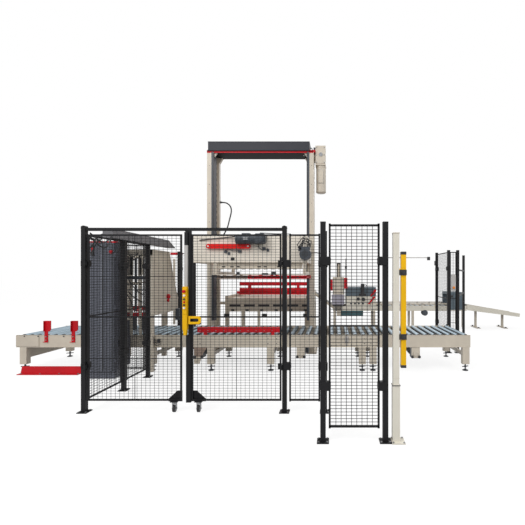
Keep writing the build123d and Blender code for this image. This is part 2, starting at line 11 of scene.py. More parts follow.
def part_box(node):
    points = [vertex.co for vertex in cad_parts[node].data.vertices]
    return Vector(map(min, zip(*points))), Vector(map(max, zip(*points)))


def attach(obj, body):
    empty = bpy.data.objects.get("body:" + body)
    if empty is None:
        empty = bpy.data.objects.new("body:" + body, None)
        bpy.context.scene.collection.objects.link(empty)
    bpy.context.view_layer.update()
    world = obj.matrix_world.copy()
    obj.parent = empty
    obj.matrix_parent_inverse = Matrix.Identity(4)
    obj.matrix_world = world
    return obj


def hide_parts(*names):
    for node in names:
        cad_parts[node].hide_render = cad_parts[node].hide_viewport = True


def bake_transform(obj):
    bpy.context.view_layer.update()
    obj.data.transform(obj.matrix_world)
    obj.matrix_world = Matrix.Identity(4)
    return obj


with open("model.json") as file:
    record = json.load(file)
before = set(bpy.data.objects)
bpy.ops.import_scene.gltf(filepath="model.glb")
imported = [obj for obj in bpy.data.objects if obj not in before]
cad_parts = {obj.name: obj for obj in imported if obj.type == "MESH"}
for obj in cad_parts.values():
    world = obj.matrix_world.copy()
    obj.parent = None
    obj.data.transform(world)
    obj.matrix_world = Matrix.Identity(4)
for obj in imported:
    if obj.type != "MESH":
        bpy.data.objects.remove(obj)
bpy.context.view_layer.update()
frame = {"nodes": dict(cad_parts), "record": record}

bl_info = {
    "name": "Bag Palletizer",
    "version": (1, 0, 0),
    "blender": (4, 5, 0),
    "location": "View3D > Sidebar > Palletizer",
    "description": "Dresses the palletizing plant with its mesh fence, rollers, drives and finishes",
    "category": "Object",
}

MM = 0.001
PAINTS = {}
# Levels in millimetres that several pieces share.
GATE_LINE = -3352
LEFT_GATE_END, RIGHT_GATE_END = -1981, -1865
CORNER_LINE = -4140
BEAM_FRONT, BEAM_BACK = -1455, -275
BAG_LINE_FRONT, BAG_LINE_BACK = 3500, 4160
HEAD_FRONT = -1285
SIDE_MOTOR_X, SIDE_MOTOR_Z = -615, 2027
CLAMP_HEIGHTS = (560, 1810)
# The photo's camera: its eye in metres, and in pixels its focal length, frame side and optical axis.
EYE = (-0.14, -7.803, 1.67)
FOCAL, FRAME_SIDE, AXIS_X, AXIS_Y = 365, 525, 333, 275


def at(node):
    """Lowest and highest corner of a CAD node in millimetres, as six numbers x0, x1, y0, y1, z0, z1."""
    low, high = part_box(node)
    return [round(value / MM, 2) for pair in zip(low, high) for value in pair]


def linear(code):
    """The linear colour of an sRGB hex value such as 'cfc6b6'."""
    parts = [int(code[i : i + 2], 16) / 255 for i in (0, 2, 4)]
    return [p / 12.92 if p <= 0.04045 else ((p + 0.055) / 1.055) ** 2.4 for p in parts] + [1.0]


def node(tree, kind, values=None, links=None, **settings):
    """Adds a shader node with its settings and values; a link starts at a socket or a node's first output."""
    made = tree.nodes.new("ShaderNode" + kind)
    for name, value in settings.items():
        setattr(made, name, value)
    for name, value in (values or {}).items():
        made.inputs[name].default_value = value
    for name, source in (links or {}).items():
        socket = source.outputs[0] if isinstance(source, bpy.types.Node) else source
        tree.links.new(socket, made.inputs[name])
    return made


def cleared(holder):
    """Turns on the nodes of a material or world, and gives back its emptied tree."""
    holder.use_nodes = True
    holder.node_tree.nodes.clear()
    return holder.node_tree


def grain(tree, size_mm, detail, stretch=(1, 1, 1)):
    """Noise whose spots are about size_mm across, in object space."""
    place = node(tree, "TexCoord").outputs["Object"]
    scaled = node(tree, "Mapping", {"Scale": stretch}, {"Vector": place})
    values = {"Scale": 1 / (size_mm * MM), "Detail": detail, "Roughness": 0.55}
    return node(tree, "TexNoise", values, {"Vector": scaled})


def finish(name, codes, spots, values):
    """A material in two close shades over noise; spots holds the noise's size in mm, detail and stretch."""
    material = bpy.data.materials.new(name)
    tree = cleared(material)
    shades = node(tree, "ValToRGB", links={"Fac": grain(tree, *spots)})
    for stop, place, code in zip(shades.color_ramp.elements, (0.3, 0.7), codes):
        stop.position = place
        stop.color = linear(code)
    shader = node(tree, "BsdfPrincipled", values, {"Base Color": shades})
    node(tree, "OutputMaterial", links={"Surface": shader})
    return material, tree, shades, shader


def powder_coat(name, codes, roughness, shine=0.5, peel=0.12):
    """Baked powder coat: even colour with faint cloudy dust, a low satin shine and a fine orange peel."""
    values = {"Roughness": roughness, "IOR": 1.5, "Specular IOR Level": shine}
    material, tree, _, shader = finish(name, codes, (420, 4), values)
    # Orange peel is about 2 mm across; it is drawn at 6 mm so that the shine breaks up a little.
    bump = node(tree, "Bump", {"Strength": peel, "Distance": 0.0006}, {"Height": grain(tree, 6, 1)})
    tree.links.new(bump.outputs["Normal"], shader.inputs["Normal"])
    return material


def bare_steel(name, codes, roughness):
    """Galvanised steel and a brown-grey steel plate: blurred reflections and an even mottle in every
    direction.
    """
    # The mottle of zinc is about 8 mm across; it is drawn at 26 mm so that it shows.
    return finish(name, codes, (26, 3), {"Metallic": 0.8, "Roughness": roughness})[0]


def roller_zinc(name, codes):
    """Zinc-plated roller tube with painted shade: its flanks and underside turn near black, and only the top
    keeps the zinc colour.
    """
    # Draw marks are about 3 mm wide; they are drawn at 26 mm, and run the length of the roller.
    marks = (26, 3, (1, 0.05, 1))
    material, tree, bright, shader = finish(name, codes, marks, {"Metallic": 0.85, "Roughness": 0.34})
    # Painted shade: the colour falls to near black 14181d as the surface turns away from straight up.
    facing = node(tree, "SeparateXYZ", links={"Vector": node(tree, "TexCoord").outputs["Normal"]})
    limits = {"From Min": 0.15, "From Max": 0.85}
    painted_shade_factor = node(tree, "MapRange", limits, {"Value": facing.outputs["Z"]}, clamp=True)
    # Inputs 6 and 7 and output 2 of a mix node are its colours.
    tone = node(tree, "Mix", {6: linear("14181d")}, {0: painted_shade_factor, 7: bright}, data_type="RGBA")
    tree.links.new(tone.outputs[2], shader.inputs["Base Color"])
    return material


def moulded(name, codes, roughness, size_mm=30):
    """Moulded, extruded or woven rubber and plastic: matt to satin, with a slightly uneven bloom."""
    return finish(name, codes, (size_mm, 3), {"Roughness": roughness, "IOR": 1.49})[0]


def floor_paint(name):
    """Pale studio floor that the camera and mirrors see as white, apart from the soft shadow on it."""
    material = bpy.data.materials.new(name)
    tree = cleared(material)
    path = node(tree, "LightPath").outputs
    rays = {0: path["Is Camera Ray"], 1: path["Is Glossy Ray"]}
    seen = node(tree, "Math", links=rays, operation="MAXIMUM")
    # The light that bounces up from the floor is held back, so that undersides stay dark.
    tone = node(tree, "MapRange", {"To Min": 0.42, "To Max": 0.9}, {"Value": seen})
    paint = node(tree, "BsdfDiffuse", links={"Color": tone})
    glow = node(tree, "Emission", {"Color": (1, 1, 1, 1), "Strength": 1.12})
    share = node(tree, "Math", {1: 0.74}, {0: seen}, operation="MULTIPLY")
    mixed = node(tree, "MixShader", links={"Fac": share, 1: paint, 2: glow})
    node(tree, "OutputMaterial", links={"Surface": mixed})
    return material


class PlantColours(bpy.types.PropertyGroup):
    """The paints of the plant, as sRGB hex values."""

    cream: StringProperty(name="Cream", description="Frames, columns and panels", default="cdc3b3")
    graphite: StringProperty(name="Graphite", description="Header beam and guide rails", default="3b3c42")
    red: StringProperty(name="Red", description="Guards, stops and pusher bars", default="c4121f")
    fence: StringProperty(name="Fence", description="Posts, panels and gates", default="18181a")
    yellow: StringProperty(name="Yellow", description="Lock box and light curtain", default="edb606")
    zinc: StringProperty(name="Zinc", description="Rollers", default="8fa2ae")
    cabinet: StringProperty(name="Cabinet", description="Electrical cabinet", default="5e616c")
    motor: StringProperty(name="Motor", description="Gearmotors", default="3d434b")


class PlantSizes(bpy.types.PropertyGroup):
    """Sizes of the dressing, in metres."""

    wire: FloatProperty(name="Wire", description="Thickness of the mesh wire", default=0.0043, unit="LENGTH")
    mesh_width: FloatProperty(name="Mesh width", description="Upright wire gap", default=0.053, unit="LENGTH")
    mesh_height: FloatProperty(name="Mesh height", description="Level wire gap", default=0.033, unit="LENGTH")
    mid_rail: FloatProperty(name="Mid rail", description="Height over the floor", default=1.16, unit="LENGTH")


def darker(code, share):
    """A hex colour with its sRGB values scaled by a share."""
    return "".join(f"{min(255, round(int(code[i : i + 2], 16) * share)):02x}" for i in (0, 2, 4))


def near(code, spread=0.05):
    """Two close shades round a hex colour."""
    return (darker(code, 1 - spread), darker(code, 1 + spread))


def make_materials():
    """Builds every finish of the plant once, from the colours in the panel."""
    colours = bpy.context.scene.plant_colours
    for slot, name, codes, roughness, shine in (
        ("cream_paint", "powder_coated_steel_cream", near(colours.cream, 0.04), 0.42, 0.5),
        # A lighter copy of the cream coat, painted light for the head panel.
        ("painted_lit_cream", "powder_coated_steel_light_cream", ("e3dacc", "ece4d7"), 0.42, 0.5),
        ("pale_cream", "powder_coated_aluminium_pale_cream", ("d9d4c6", "e2ddd0"), 0.45, 0.5),
        ("graphite_paint", "powder_coated_steel_graphite", near(colours.graphite), 0.5, 0.2),
        ("red_paint", "powder_coated_steel_red", near(colours.red), 0.4, 0.2),
        ("signal_red", "powder_coated_steel_signal_red", ("e01815", "ea1f1b"), 0.4, 0.2),
        ("black_fence", "powder_coated_steel_black", near(colours.fence, 0.1), 0.5, 0.2),
        # A near-black coat that paints the shade under the header beam.
        ("painted_shade_black", "powder_coated_steel_deep_black", ("060606", "0c0c0d"), 0.6, 0.1),
        ("yellow_paint", "powder_coated_steel_yellow", near(colours.yellow, 0.03), 0.4, 0.25),
        ("cabinet_grey", "powder_coated_steel_cabinet", near(colours.cabinet), 0.5, 0.5),
        # A lighter copy of the cabinet coat, for the painted highlight where the leaf's folds catch the
        # light.
        ("cabinet_painted_highlight", "powder_coated_steel_cabinet_edge", ("6a6d78", "747782"), 0.45, 0.5),
        ("trunking_grey", "powder_coated_steel_trunking", ("6a696c", "767578"), 0.5, 0.3),
        ("slate_paint", "powder_coated_steel_slate", ("4a5862", "56656f"), 0.45, 0.5),
        ("teal_paint", "powder_coated_steel_teal", ("26494f", "31575d"), 0.45, 0.5),
        # Oiled steel and anodised aluminium have the same low even sheen as the coat, in their own greys.
        ("dark_steel", "oiled_dark_steel", ("25282d", "33373d"), 0.5, 0.5),
        ("duct_grey", "anodised_grey_duct", ("a9a6a3", "b7b4b1"), 0.4, 0.5),
        ("lilac_plate", "anodised_aluminium_hood", ("9c99a6", "aeabb6"), 0.4, 0.5),
    ):
        PAINTS[slot] = powder_coat(name, codes, roughness, shine)
    # Cast housings under sprayed enamel are a little rougher than sheet.
    PAINTS["motor_grey"] = powder_coat("enamelled_cast_aluminium", near(colours.motor, 0.08), 0.48, peel=0.3)
    PAINTS["zinc"] = roller_zinc("zinc_plated_steel_tube", near(colours.zinc, 0.1))
    PAINTS["steel"] = bare_steel("galvanised_steel", ("77787a", "9b9c9e"), 0.45)
    # The brown-grey plate colours the left layer door, and paints shade on the cream left drive cover.
    PAINTS["bronze_plate"] = bare_steel("brown_grey_steel_plate", ("7b6a5f", "9a887b"), 0.5)
    PAINTS["hose_black"] = moulded("extruded_rubber_hose", ("121213", "1e1e20"), 0.55)
    PAINTS["wheel_rubber"] = moulded("moulded_rubber_tread", ("161617", "232325"), 0.7)
    PAINTS["belt_grey"] = moulded("woven_pvc_belt", ("74787a", "8b8f90"), 0.6, 12)
    PAINTS["black_plastic"] = moulded("moulded_black_abs", ("19191b", "252528"), 0.4)
    PAINTS["white_plate"] = moulded("printed_white_acrylic", ("e9e8e6", "f4f3f1"), 0.35)
    PAINTS["orange_plastic"] = moulded("moulded_orange_abs", ("d9791c", "e88a24"), 0.35)


# How a pair of coordinates and a level along an axis make a point, and how a bar turns to lie along it.
SPOTS = {"X": lambda a, b, c: (c, a, b), "Y": lambda a, b, c: (a, c, b), "Z": lambda a, b, c: (a, b, c)}
TURNS = {"X": (math.pi / 2, "Y"), "Y": (-math.pi / 2, "X"), "Z": (0, "Z")}


class Shape:
    """Collects the faces of one piece, in millimetres; each call but done gives the shape back."""

    def __init__(self):
        self.bm = bmesh.new()

    def box(self, x0, x1, y0, y1, z0, z1, turn=Matrix()):
        """A block between two corners, turned by a matrix if one is given."""
        place = Matrix.Translation(((x0 + x1) / 2, (y0 + y1) / 2, (z0 + z1) / 2))
        place = place @ Matrix.Diagonal((abs(x1 - x0), abs(y1 - y0), abs(z1 - z0), 1))
        bmesh.ops.create_cube(self.bm, size=1, matrix=turn @ place)
        return self

    def boxes(self, *rows):
        """Blocks, each from a row of x0, x1, y0, y1, z0, z1."""
        for row in rows:
            self.box(*row)
        return self

    def row(self, starts, width, *rest):
        """Blocks of one width that start at several places along X, and share their other sizes."""
        return self.boxes(*((x, x + width, *rest) for x in starts))

    def bar(self, axis, level, start, end, low, high, half):
        """A level bar along X or Y, as thick as twice the half value."""
        x0, y0, _ = SPOTS["Y" if axis == "X" else "X"](start, 0, level - half)
        x1, y1, _ = SPOTS["Y" if axis == "X" else "X"](end, 0, level + half)
        return self.box(x0, x1, y0, y1, low, high)

    def rods(self, axis, spots, start, end, radius, sides=24, tip=None):
        """Round bars along an axis, or tapered to a tip radius, at pairs of the other two coordinates."""
        angle, about = TURNS[axis]
        for first, second in spots:
            place = Matrix.Translation(SPOTS[axis](first, second, (start + end) / 2))
            bmesh.ops.create_cone(
                self.bm,
                cap_ends=True,
                segments=sides,
                radius1=radius,
                radius2=radius if tip is None else tip,
                depth=end - start,
                matrix=place @ Matrix.Rotation(angle, 4, about),
            )
        return self

    def rod(self, axis, first, second, *sizes):
        """One such bar."""
        return self.rods(axis, [(first, second)], *sizes)

    def fins(self, axis, first, second, start, count, radius, pitch=24, width=8):
        """The cooling ribs of a motor, evenly spaced along its axis."""
        for k in range(count):
            self.rod(axis, first, second, start + k * pitch, start + k * pitch + width, radius, 28)
        return self

    def skin(self, rings, closed=False):
        """Joins rings of points in turn, with a cap on each end unless the last ring meets the first."""
        made = [[self.bm.verts.new(point) for point in ring] for ring in rings]
        if not closed:
            self.bm.faces.new(made[0])
            self.bm.faces.new(made[-1])
        for a, b in zip(made, made[1:] + made[: int(closed)]):
            for i in range(len(a)):
                j = (i + 1) % len(a)
                self.bm.faces.new((a[i], a[j], b[j], b[i]))
        return self

    def plate(self, axis, outline, start, end):
        """A flat plate between two levels of an axis; its outline holds pairs of the other coordinates."""
        return self.skin([[SPOTS[axis](a, b, level) for a, b in outline] for level in (start, end)])

    def pipe(self, points, radius, sides=8):
        """A bent round bar or cable through points."""
        points = [Vector(p) for p in points]
        rings = []
        side = (points[1] - points[0]).normalized().orthogonal().normalized()
        for i, point in enumerate(points):
            ahead = (points[min(i + 1, len(points) - 1)] - points[max(i - 1, 0)]).normalized()
            side = (side - ahead * side.dot(ahead)).normalized()
            up = ahead.cross(side)
            angles = [2 * math.pi * k / sides for k in range(sides)]
            rings.append([point + (side * math.cos(t) + up * math.sin(t)) * radius for t in angles])
        return self.skin(rings)

    def cables(self, radius, *routes):
        """Cables that bend smoothly along their routes."""
        for route in routes:
            self.pipe([point / MM for point in smooth_line(route)], radius)
        return self

    def done(self, name, paint, bevel=0.0, body="plant", replaced=None):
        """Makes the object, coats it, rounds its edges by bevel millimetres and hands it to its body."""
        self.bm.transform(Matrix.Diagonal((MM, MM, MM, 1)))
        bmesh.ops.recalc_face_normals(self.bm, faces=self.bm.faces)
        mesh = bpy.data.meshes.new(name)
        self.bm.to_mesh(mesh)
        self.bm.free()
        mesh.shade_smooth()
        mesh.set_sharp_from_angle(angle=math.radians(32))
        mesh.materials.append(PAINTS[paint])
        piece = bpy.data.objects.new(name, mesh)
        bpy.context.scene.collection.objects.link(piece)
        if bevel:
            soft = piece.modifiers.new("rounded_edges", "BEVEL")
            soft.width = bevel * MM
            soft.segments = 2
            soft.limit_method = "ANGLE"
            soft.angle_limit = math.radians(40)
        if body:
            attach(piece, body)
        if replaced:
            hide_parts(replaced)
        return piece


def smooth_line(points):
    """Points in metres along a NURBS curve whose control points are a route in millimetres."""
    curve = bpy.data.curves.new("route", "CURVE")
    curve.dimensions = "3D"
    curve.resolution_u = 10
    spline = curve.splines.new("NURBS")
    spline.points.add(len(points) - 1)
    for slot, point in zip(spline.points, points):
        slot.co = (point[0] * MM, point[1] * MM, point[2] * MM, 1)
    spline.order_u = 3
    spline.use_endpoint_u = True
    holder = bpy.data.objects.new("route", curve)
    bpy.context.scene.collection.objects.link(holder)
    line = bpy.data.meshes.new_from_object(holder)
    read = [v.co.copy() for v in line.vertices]
    bpy.data.meshes.remove(line)
    bpy.data.objects.remove(holder)
    bpy.data.curves.remove(curve)
    return read


class PLANT_OT_stage(bpy.types.Operator):
    """Makes the camera, the pale floor, the backdrop and the studio light"""

    bl_idname = "plant.stage"
    bl_label = "Stage"

    def execute(self, context):
        scene = context.scene
        eye = bpy.data.cameras.new("eye_level_camera")
        eye.sensor_width = 36
        eye.lens = eye.sensor_width * FOCAL / FRAME_SIDE
        # The optical axis lies right of and below the middle of the frame.
        eye.shift_x = (FRAME_SIDE / 2 - AXIS_X) / FRAME_SIDE
        eye.shift_y = (AXIS_Y - FRAME_SIDE / 2) / FRAME_SIDE
        camera = bpy.data.objects.new("eye_level_camera", eye)
        camera.location = EYE
        camera.rotation_euler = (math.radians(90), 0, 0)
        scene.collection.objects.link(camera)
        scene.camera = camera
        scene.view_settings.view_transform = "Standard"

        ground = bmesh.new()
        bmesh.ops.create_grid(ground, x_segments=2, y_segments=2, size=60)
        mesh = bpy.data.meshes.new("studio_floor")
        ground.to_mesh(mesh)
        ground.free()
        floor = bpy.data.objects.new("studio_floor", mesh)
        floor.location = (0, 0, -0.002)
        scene.collection.objects.link(floor)
        mesh.materials.append(floor_paint("pale_floor_paint"))

        scene.world = bpy.data.worlds.new("studio_backdrop")
        tree = cleared(scene.world)
        path = node(tree, "LightPath").outputs
        rays = {0: path["Is Camera Ray"], 1: path["Is Glossy Ray"]}
        rays = {0: node(tree, "Math", links=rays, operation="ADD"), 1: path["Is Transmission Ray"]}
        seen = node(tree, "Math", links=rays, operation="ADD", use_clamp=True)
        strength = node(tree, "MapRange", {"To Min": 0.72, "To Max": 1.0}, {"Value": seen})
        back = node(tree, "Background", {"Color": (1, 1, 1, 1)}, {"Strength": strength})
        node(tree, "OutputWorld", links={"Surface": back})

        for name, spot, size, power, aim in (
            ("soft_key", (-5.5, -9.0, 8.5), 6.0, 520, (-1.0, 0.0, 1.0)),
            ("soft_fill", (7.0, -8.0, 6.0), 6.0, 230, (0.5, 0.5, 1.0)),
            ("soft_back", (0.0, 9.0, 8.0), 7.0, 170, (0.0, 1.5, 1.0)),
        ):
            lamp = bpy.data.lights.new(name, "AREA")
            lamp.size = size
            lamp.energy = power
            placed = bpy.data.objects.new(name, lamp)
            placed.location = spot
            placed.rotation_euler = (Vector(aim) - Vector(spot)).to_track_quat("-Z", "Y").to_euler()
            scene.collection.objects.link(placed)
        return {"FINISHED"}


HOSE_SIZE = 28
HOSE_ROUTE = [
    (-2673, 405, 3302), (-2592, 405, 3302), (-2520, 404, 3284), (-2462, 400, 3238), (-2426, 393, 3172),
    (-2418, 383, 3096), (-2432, 368, 3000), (-2458, 348, 2880), (-2484, 322, 2735), (-2536, 294, 2610),
    (-2590, 270, 2512), (-2630, 252, 2445), (-2648, 243, 2384.9),
]


class PLANT_OT_lift_hose(bpy.types.Operator):
    """Makes the hose that loops from the left column down to the stacking head, and its two glands"""

    bl_idname = "plant.lift_hose"
    bl_label = "Lift hose"

    def execute(self, context):
        line = smooth_line(HOSE_ROUTE)
        shape = Shape().pipe([p / MM for p in line], HOSE_SIZE / 2, 12)
        hose = shape.done("loop_hose", "hose_black", body=None, replaced="lift_hose")
        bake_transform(hose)
        gland = Shape().rod("X", 405, 3302, -2673, -2655, 26, 6).rod("X", 405, 3302, -2655, -2625, 22, 20, 16)
        gland.done("hose_gland_on_column", "black_plastic")
        gland = Shape().rod("Z", -2648, 243, 2380, 2392, 26, 6).rod("Z", -2646, 244, 2392, 2412, 22, 20, 16)
        gland.done("hose_gland_on_head", "black_plastic", 0, "head")
        return {"FINISHED"}


FINISHES = {
    "cable_trunking": "trunking_grey",
    "layer_door_left": "bronze_plate",
    "chain_guard": "signal_red",
    "light_post": "pale_cream",
    "press_cover": "slate_paint",
    "press_frame": "pale_cream",
    # The head panel takes the lighter cream copy as painted light.
    "head_panel": "painted_lit_cream",
}


class PLANT_OT_frame_finish(bpy.types.Operator):
    """Gives every carried-over node of the frame its paint"""

    bl_idname = "plant.frame_finish"
    bl_label = "Frame finish"

    def execute(self, context):
        slots = {part["node"]: part["material_slot"] for part in frame["record"]["subparts"]}
        for name, piece in frame["nodes"].items():
            paint = FINISHES.get(name, slots[name])
            for slot in piece.material_slots:
                slot.material = PAINTS[paint]
            if not piece.material_slots:
                piece.data.materials.append(PAINTS[paint])
        return {"FINISHED"}


def wire_mesh(shape, axis, level, start, end, low, high, weight=1.0):
    """Welded wires and the mid rail of one panel that runs along X or Y."""
    sizes = bpy.context.scene.plant_sizes
    radius = sizes.wire / MM / 2 * weight
    count = max(2, round((end - start) * MM / sizes.mesh_width))
    rows = round((high - low) * MM / sizes.mesh_height)
    for i in range(1, count):
        along = start + (end - start) * i / count
        spot = (along, level) if axis == "X" else (level, along)
        shape.rod("Z", *spot, low, high, radius, 5)
    for i in range(1, rows):
        shape.rod(axis, level, low + (high - low) * i / rows, start, end, radius, 5)
    rail = sizes.mid_rail / MM
    shape.bar(axis, level, start, end, rail - 8, rail + 8, 8)


# The fixed panels, and the axis along which each runs.
FIXED_PANELS = {
    "side_panel_front": "Y",
    "side_panel_rear": "Y",
    "cross_panel": "X",
    "narrow_panel": "X",
    "return_panel": "Y",
    "near_panel": "X",
    "rear_panel": "X",
    "right_panel": "Y",
}
# The middle of each fence post, and the height of its top.
POSTS = [
    (-3170, -3352, 2260), (-3170, -2515, 2170), (-3170, -1825, 2170), (-730, -3352, 2260),
    (-240, -3352, 2200), (-240, -4140, 2200), (385, -4140, 2200), (-3640, 495, 2200), (-3290, 495, 2200),
    (2345, 45, 2200), (2540, 45, 2200), (2345, 945, 2200), (3406, 2115, 2200),
]


def panel_run(name):
    """Where a fixed panel starts and ends along its axis, and its middle across it."""
    x0, x1, y0, y1, _, _ = at(name)
    return (x0, x1, (y0 + y1) / 2) if FIXED_PANELS[name] == "X" else (y0, y1, (x0 + x1) / 2)


class PLANT_OT_fence_mesh(bpy.types.Operator):
    """Makes each fixed fence panel: a thin tube frame clear of its posts, its wire mesh and its mid rail"""

    bl_idname = "plant.fence_mesh"
    bl_label = "Fence mesh"

    def execute(self, context):
        tube = 20
        inset = 30
        for name, axis in FIXED_PANELS.items():
            start, end, level = panel_run(name)
            start, end = start + inset, end - inset
            z0, z1 = at(name)[4:]
            # The nearest panel hangs a little higher and is welded from heavier wire.
            weight = 1.0
            if name == "near_panel":
                z0, z1, weight = z0 + 4, z1 + 12, 1.45
            shape = Shape()
            for a in (start, end - tube):
                shape.bar(axis, level, a, a + tube, z0 - 8, z1 + 8, 10)
            for z in (z0, z1 - tube):
                shape.bar(axis, level, start, end, z, z + tube, 10)
            wire_mesh(shape, axis, level, start + tube, end - tube, z0 + tube, z1 - tube, weight)
            shape.done(name + "_mesh", "black_fence", replaced=name)
        # The narrow panel at the right corner keeps the solid frame between its posts.
        shape = Shape()
        wire_mesh(shape, "X", 45, 2392, 2493, 158, 2146)
        shape.done("corner_panel_wires", "black_fence")
        return {"FINISHED"}


class PLANT_OT_gate_mesh(bpy.types.Operator):
    """Welds the wire mesh and the mid rail into the two swinging gates and bolts on their hinge plates"""

    bl_idname = "plant.gate_mesh"
    bl_label = "Gate mesh"

    def execute(self, context):
        y = GATE_LINE
        for side, hung, free, way in (
            ("left", -3131, LEFT_GATE_END, -1),
            ("right", -769, RIGHT_GATE_END, 1),
        ):
            shape = Shape()
            start, end = sorted((hung, free))
            wire_mesh(shape, "X", y, start + 18, end - 18, 156, 2148)
            shape.rods("Y", [(free + way * 16, z) for z in (150, 210)], y + 16, y + 23, 8, 6)
            for z in CLAMP_HEIGHTS:
                shape.box(hung, hung - way * 40, y - 20, y - 10, z - 38, z + 38)
                shape.rods("Y", [(hung - way * 30, z + d) for d in (-24, 24)], y - 26, y - 20, 7, 6)
            shape.done(side + "_gate_wires", "black_fence", 0, "gate_" + side)
        return {"FINISHED"}


class PLANT_OT_fence_fittings(bpy.types.Operator):
    """Adds the post caps, clamps, rail eyes and foot bolts of the fence"""

    bl_idname = "plant.fence_fittings"
    bl_label = "Fence fittings"

    def execute(self, context):
        caps = Shape()
        for x, y, z in POSTS:
            caps.box(x - 28.5, x + 28.5, y - 28.5, y + 28.5, z - 10, z + 4)
        # Clamps that hold each panel frame to its posts, above the floor and below the top.
        for name, axis in FIXED_PANELS.items():
            start, end, level = panel_run(name)
            for z, (along, way) in product(CLAMP_HEIGHTS, ((start, 1), (end, -1))):
                a, b = sorted((along - way * 54, along + way * 52))
                caps.bar(axis, level, a, b, z - 34, z + 34, 32)
                caps.bar(axis, level, a + 18, b - 18, z - 44, z + 44, 36)
        caps.done("post_caps_and_clamps", "black_fence", 4)
        # Round eyes that carry the rail over the gates.
        eyes = Shape().rods("Y", [(-3170, 2240), (-730, 2240)], GATE_LINE - 26, GATE_LINE + 26, 31)
        eyes.done("rail_eyes", "black_fence", 3)
        corners = [(x + a, y + b) for x, y, _ in POSTS for a in (-43, 43) for b in (-43, 43)]
        Shape().rods("Z", corners, 10, 19, 9, 6).done("anchor_bolts", "steel")
        return {"FINISHED"}


class PLANT_OT_gate_lock(bpy.types.Operator):
    """Makes the yellow lock box with its buttons, the post that carries it, and the yellow pull handle"""

    bl_idname = "plant.gate_lock"
    bl_label = "Gate lock"

    def execute(self, context):
        front = GATE_LINE - 72
        left, right = -1949, -1893
        box = Shape().boxes(
            (left, right, front, front + 46, 1010, 1530),
            (left + 4, right - 4, front - 6, front, 1200, 1508),
        )
        foot = [(left + 5, 1010), (right - 5, 1010), (right - 13, 944), (left + 13, 944)]
        box.plate("Y", foot, front + 2, front + 44)
        box.done("lock_housing", "yellow_paint", 5, replaced="gate_lock")
        for name, paint, heights, radius, deep in (
            ("stop_button", "red_paint", (1474,), 17, 30),
            ("black_buttons", "black_plastic", (1380, 1310), 12, 20),
            ("white_buttons", "white_plate", (1425, 1275), 13, 18),
            ("red_button", "red_paint", (1345,), 11, 18),
        ):
            spots = [((left + right) / 2, z) for z in heights]
            Shape().rods("Y", spots, front - 6 - deep, front - 6, radius, 20).done(name, paint, 2)
        # The hanging post between the gates that carries the lock.
        post = Shape().boxes(
            (-1896, -1867, -3374, -3330, 940, 2207.7),
            (-1926, -1867, -3374, -3330, 120, 940),
            (-1938, -1896, -3369, -3340, 2030, 2207.7),
            (-1938, -1896, -3394, -3369, 2030, 2190),
            (left + 8, -1896, front + 46, -3360, 1040, 1500),
        )
        post.done("lock_post", "black_fence", 3)
        Shape().box(-1938, -1897, front + 28, front + 84, 1530, 2030).done("lock_duct", "duct_grey", 3)
        grip = GATE_LINE - 10
        outer = [(-1884, 1076), (-1752, 1076), (-1730, 1098), (-1730, 1152), (-1752, 1174), (-1884, 1174)]
        hole = [(-1862, 1106), (-1772, 1106), (-1762, 1116), (-1762, 1134), (-1772, 1144), (-1862, 1144)]
        rings = ((outer, grip - 46), (outer, grip - 38), (hole, grip - 38), (hole, grip - 46))
        cover = Shape().skin([[(x, y, z) for x, z in edge] for edge, y in rings], closed=True)
        cover.done("pull_handle_cover", "yellow_paint", 3, "gate_right")
        inner = Shape().box(-1862, -1776, grip - 8, grip - 3, 1094, 1141)
        inner.done("pull_handle_grip", "black_plastic", 0, "gate_right")
        return {"FINISHED"}


class PLANT_OT_casters(bpy.types.Operator):
    """Adds the axle nuts, hub discs and swivel races of the gate casters"""

    bl_idname = "plant.casters"
    bl_label = "Casters"

    def execute(self, context):
        y = GATE_LINE
        for side, x in (("left", LEFT_GATE_END - 90), ("right", RIGHT_GATE_END + 90)):
            hub = Shape()
            nuts = Shape()
            for way in (-1, 1):
                hub.rod("X", y, 44, x + way * 13, x + way * 15.5, 26, 28)
                nuts.rod("X", y, 44, x + way * 24, x + way * 31, 9, 6)
            hub.done(side + "_hub_discs", "steel", 0, "wheel_" + side)
            nuts.rod("Z", x, y, 100, 112, 27, 28).done(side + "_axle_nuts", "steel", 0, "caster_" + side)
        return {"FINISHED"}


# The middle of each pair of legs under the pallet line.
LEGS = [-5530, -4400, -3300, -2270, -1228, 372, 560, 2176]


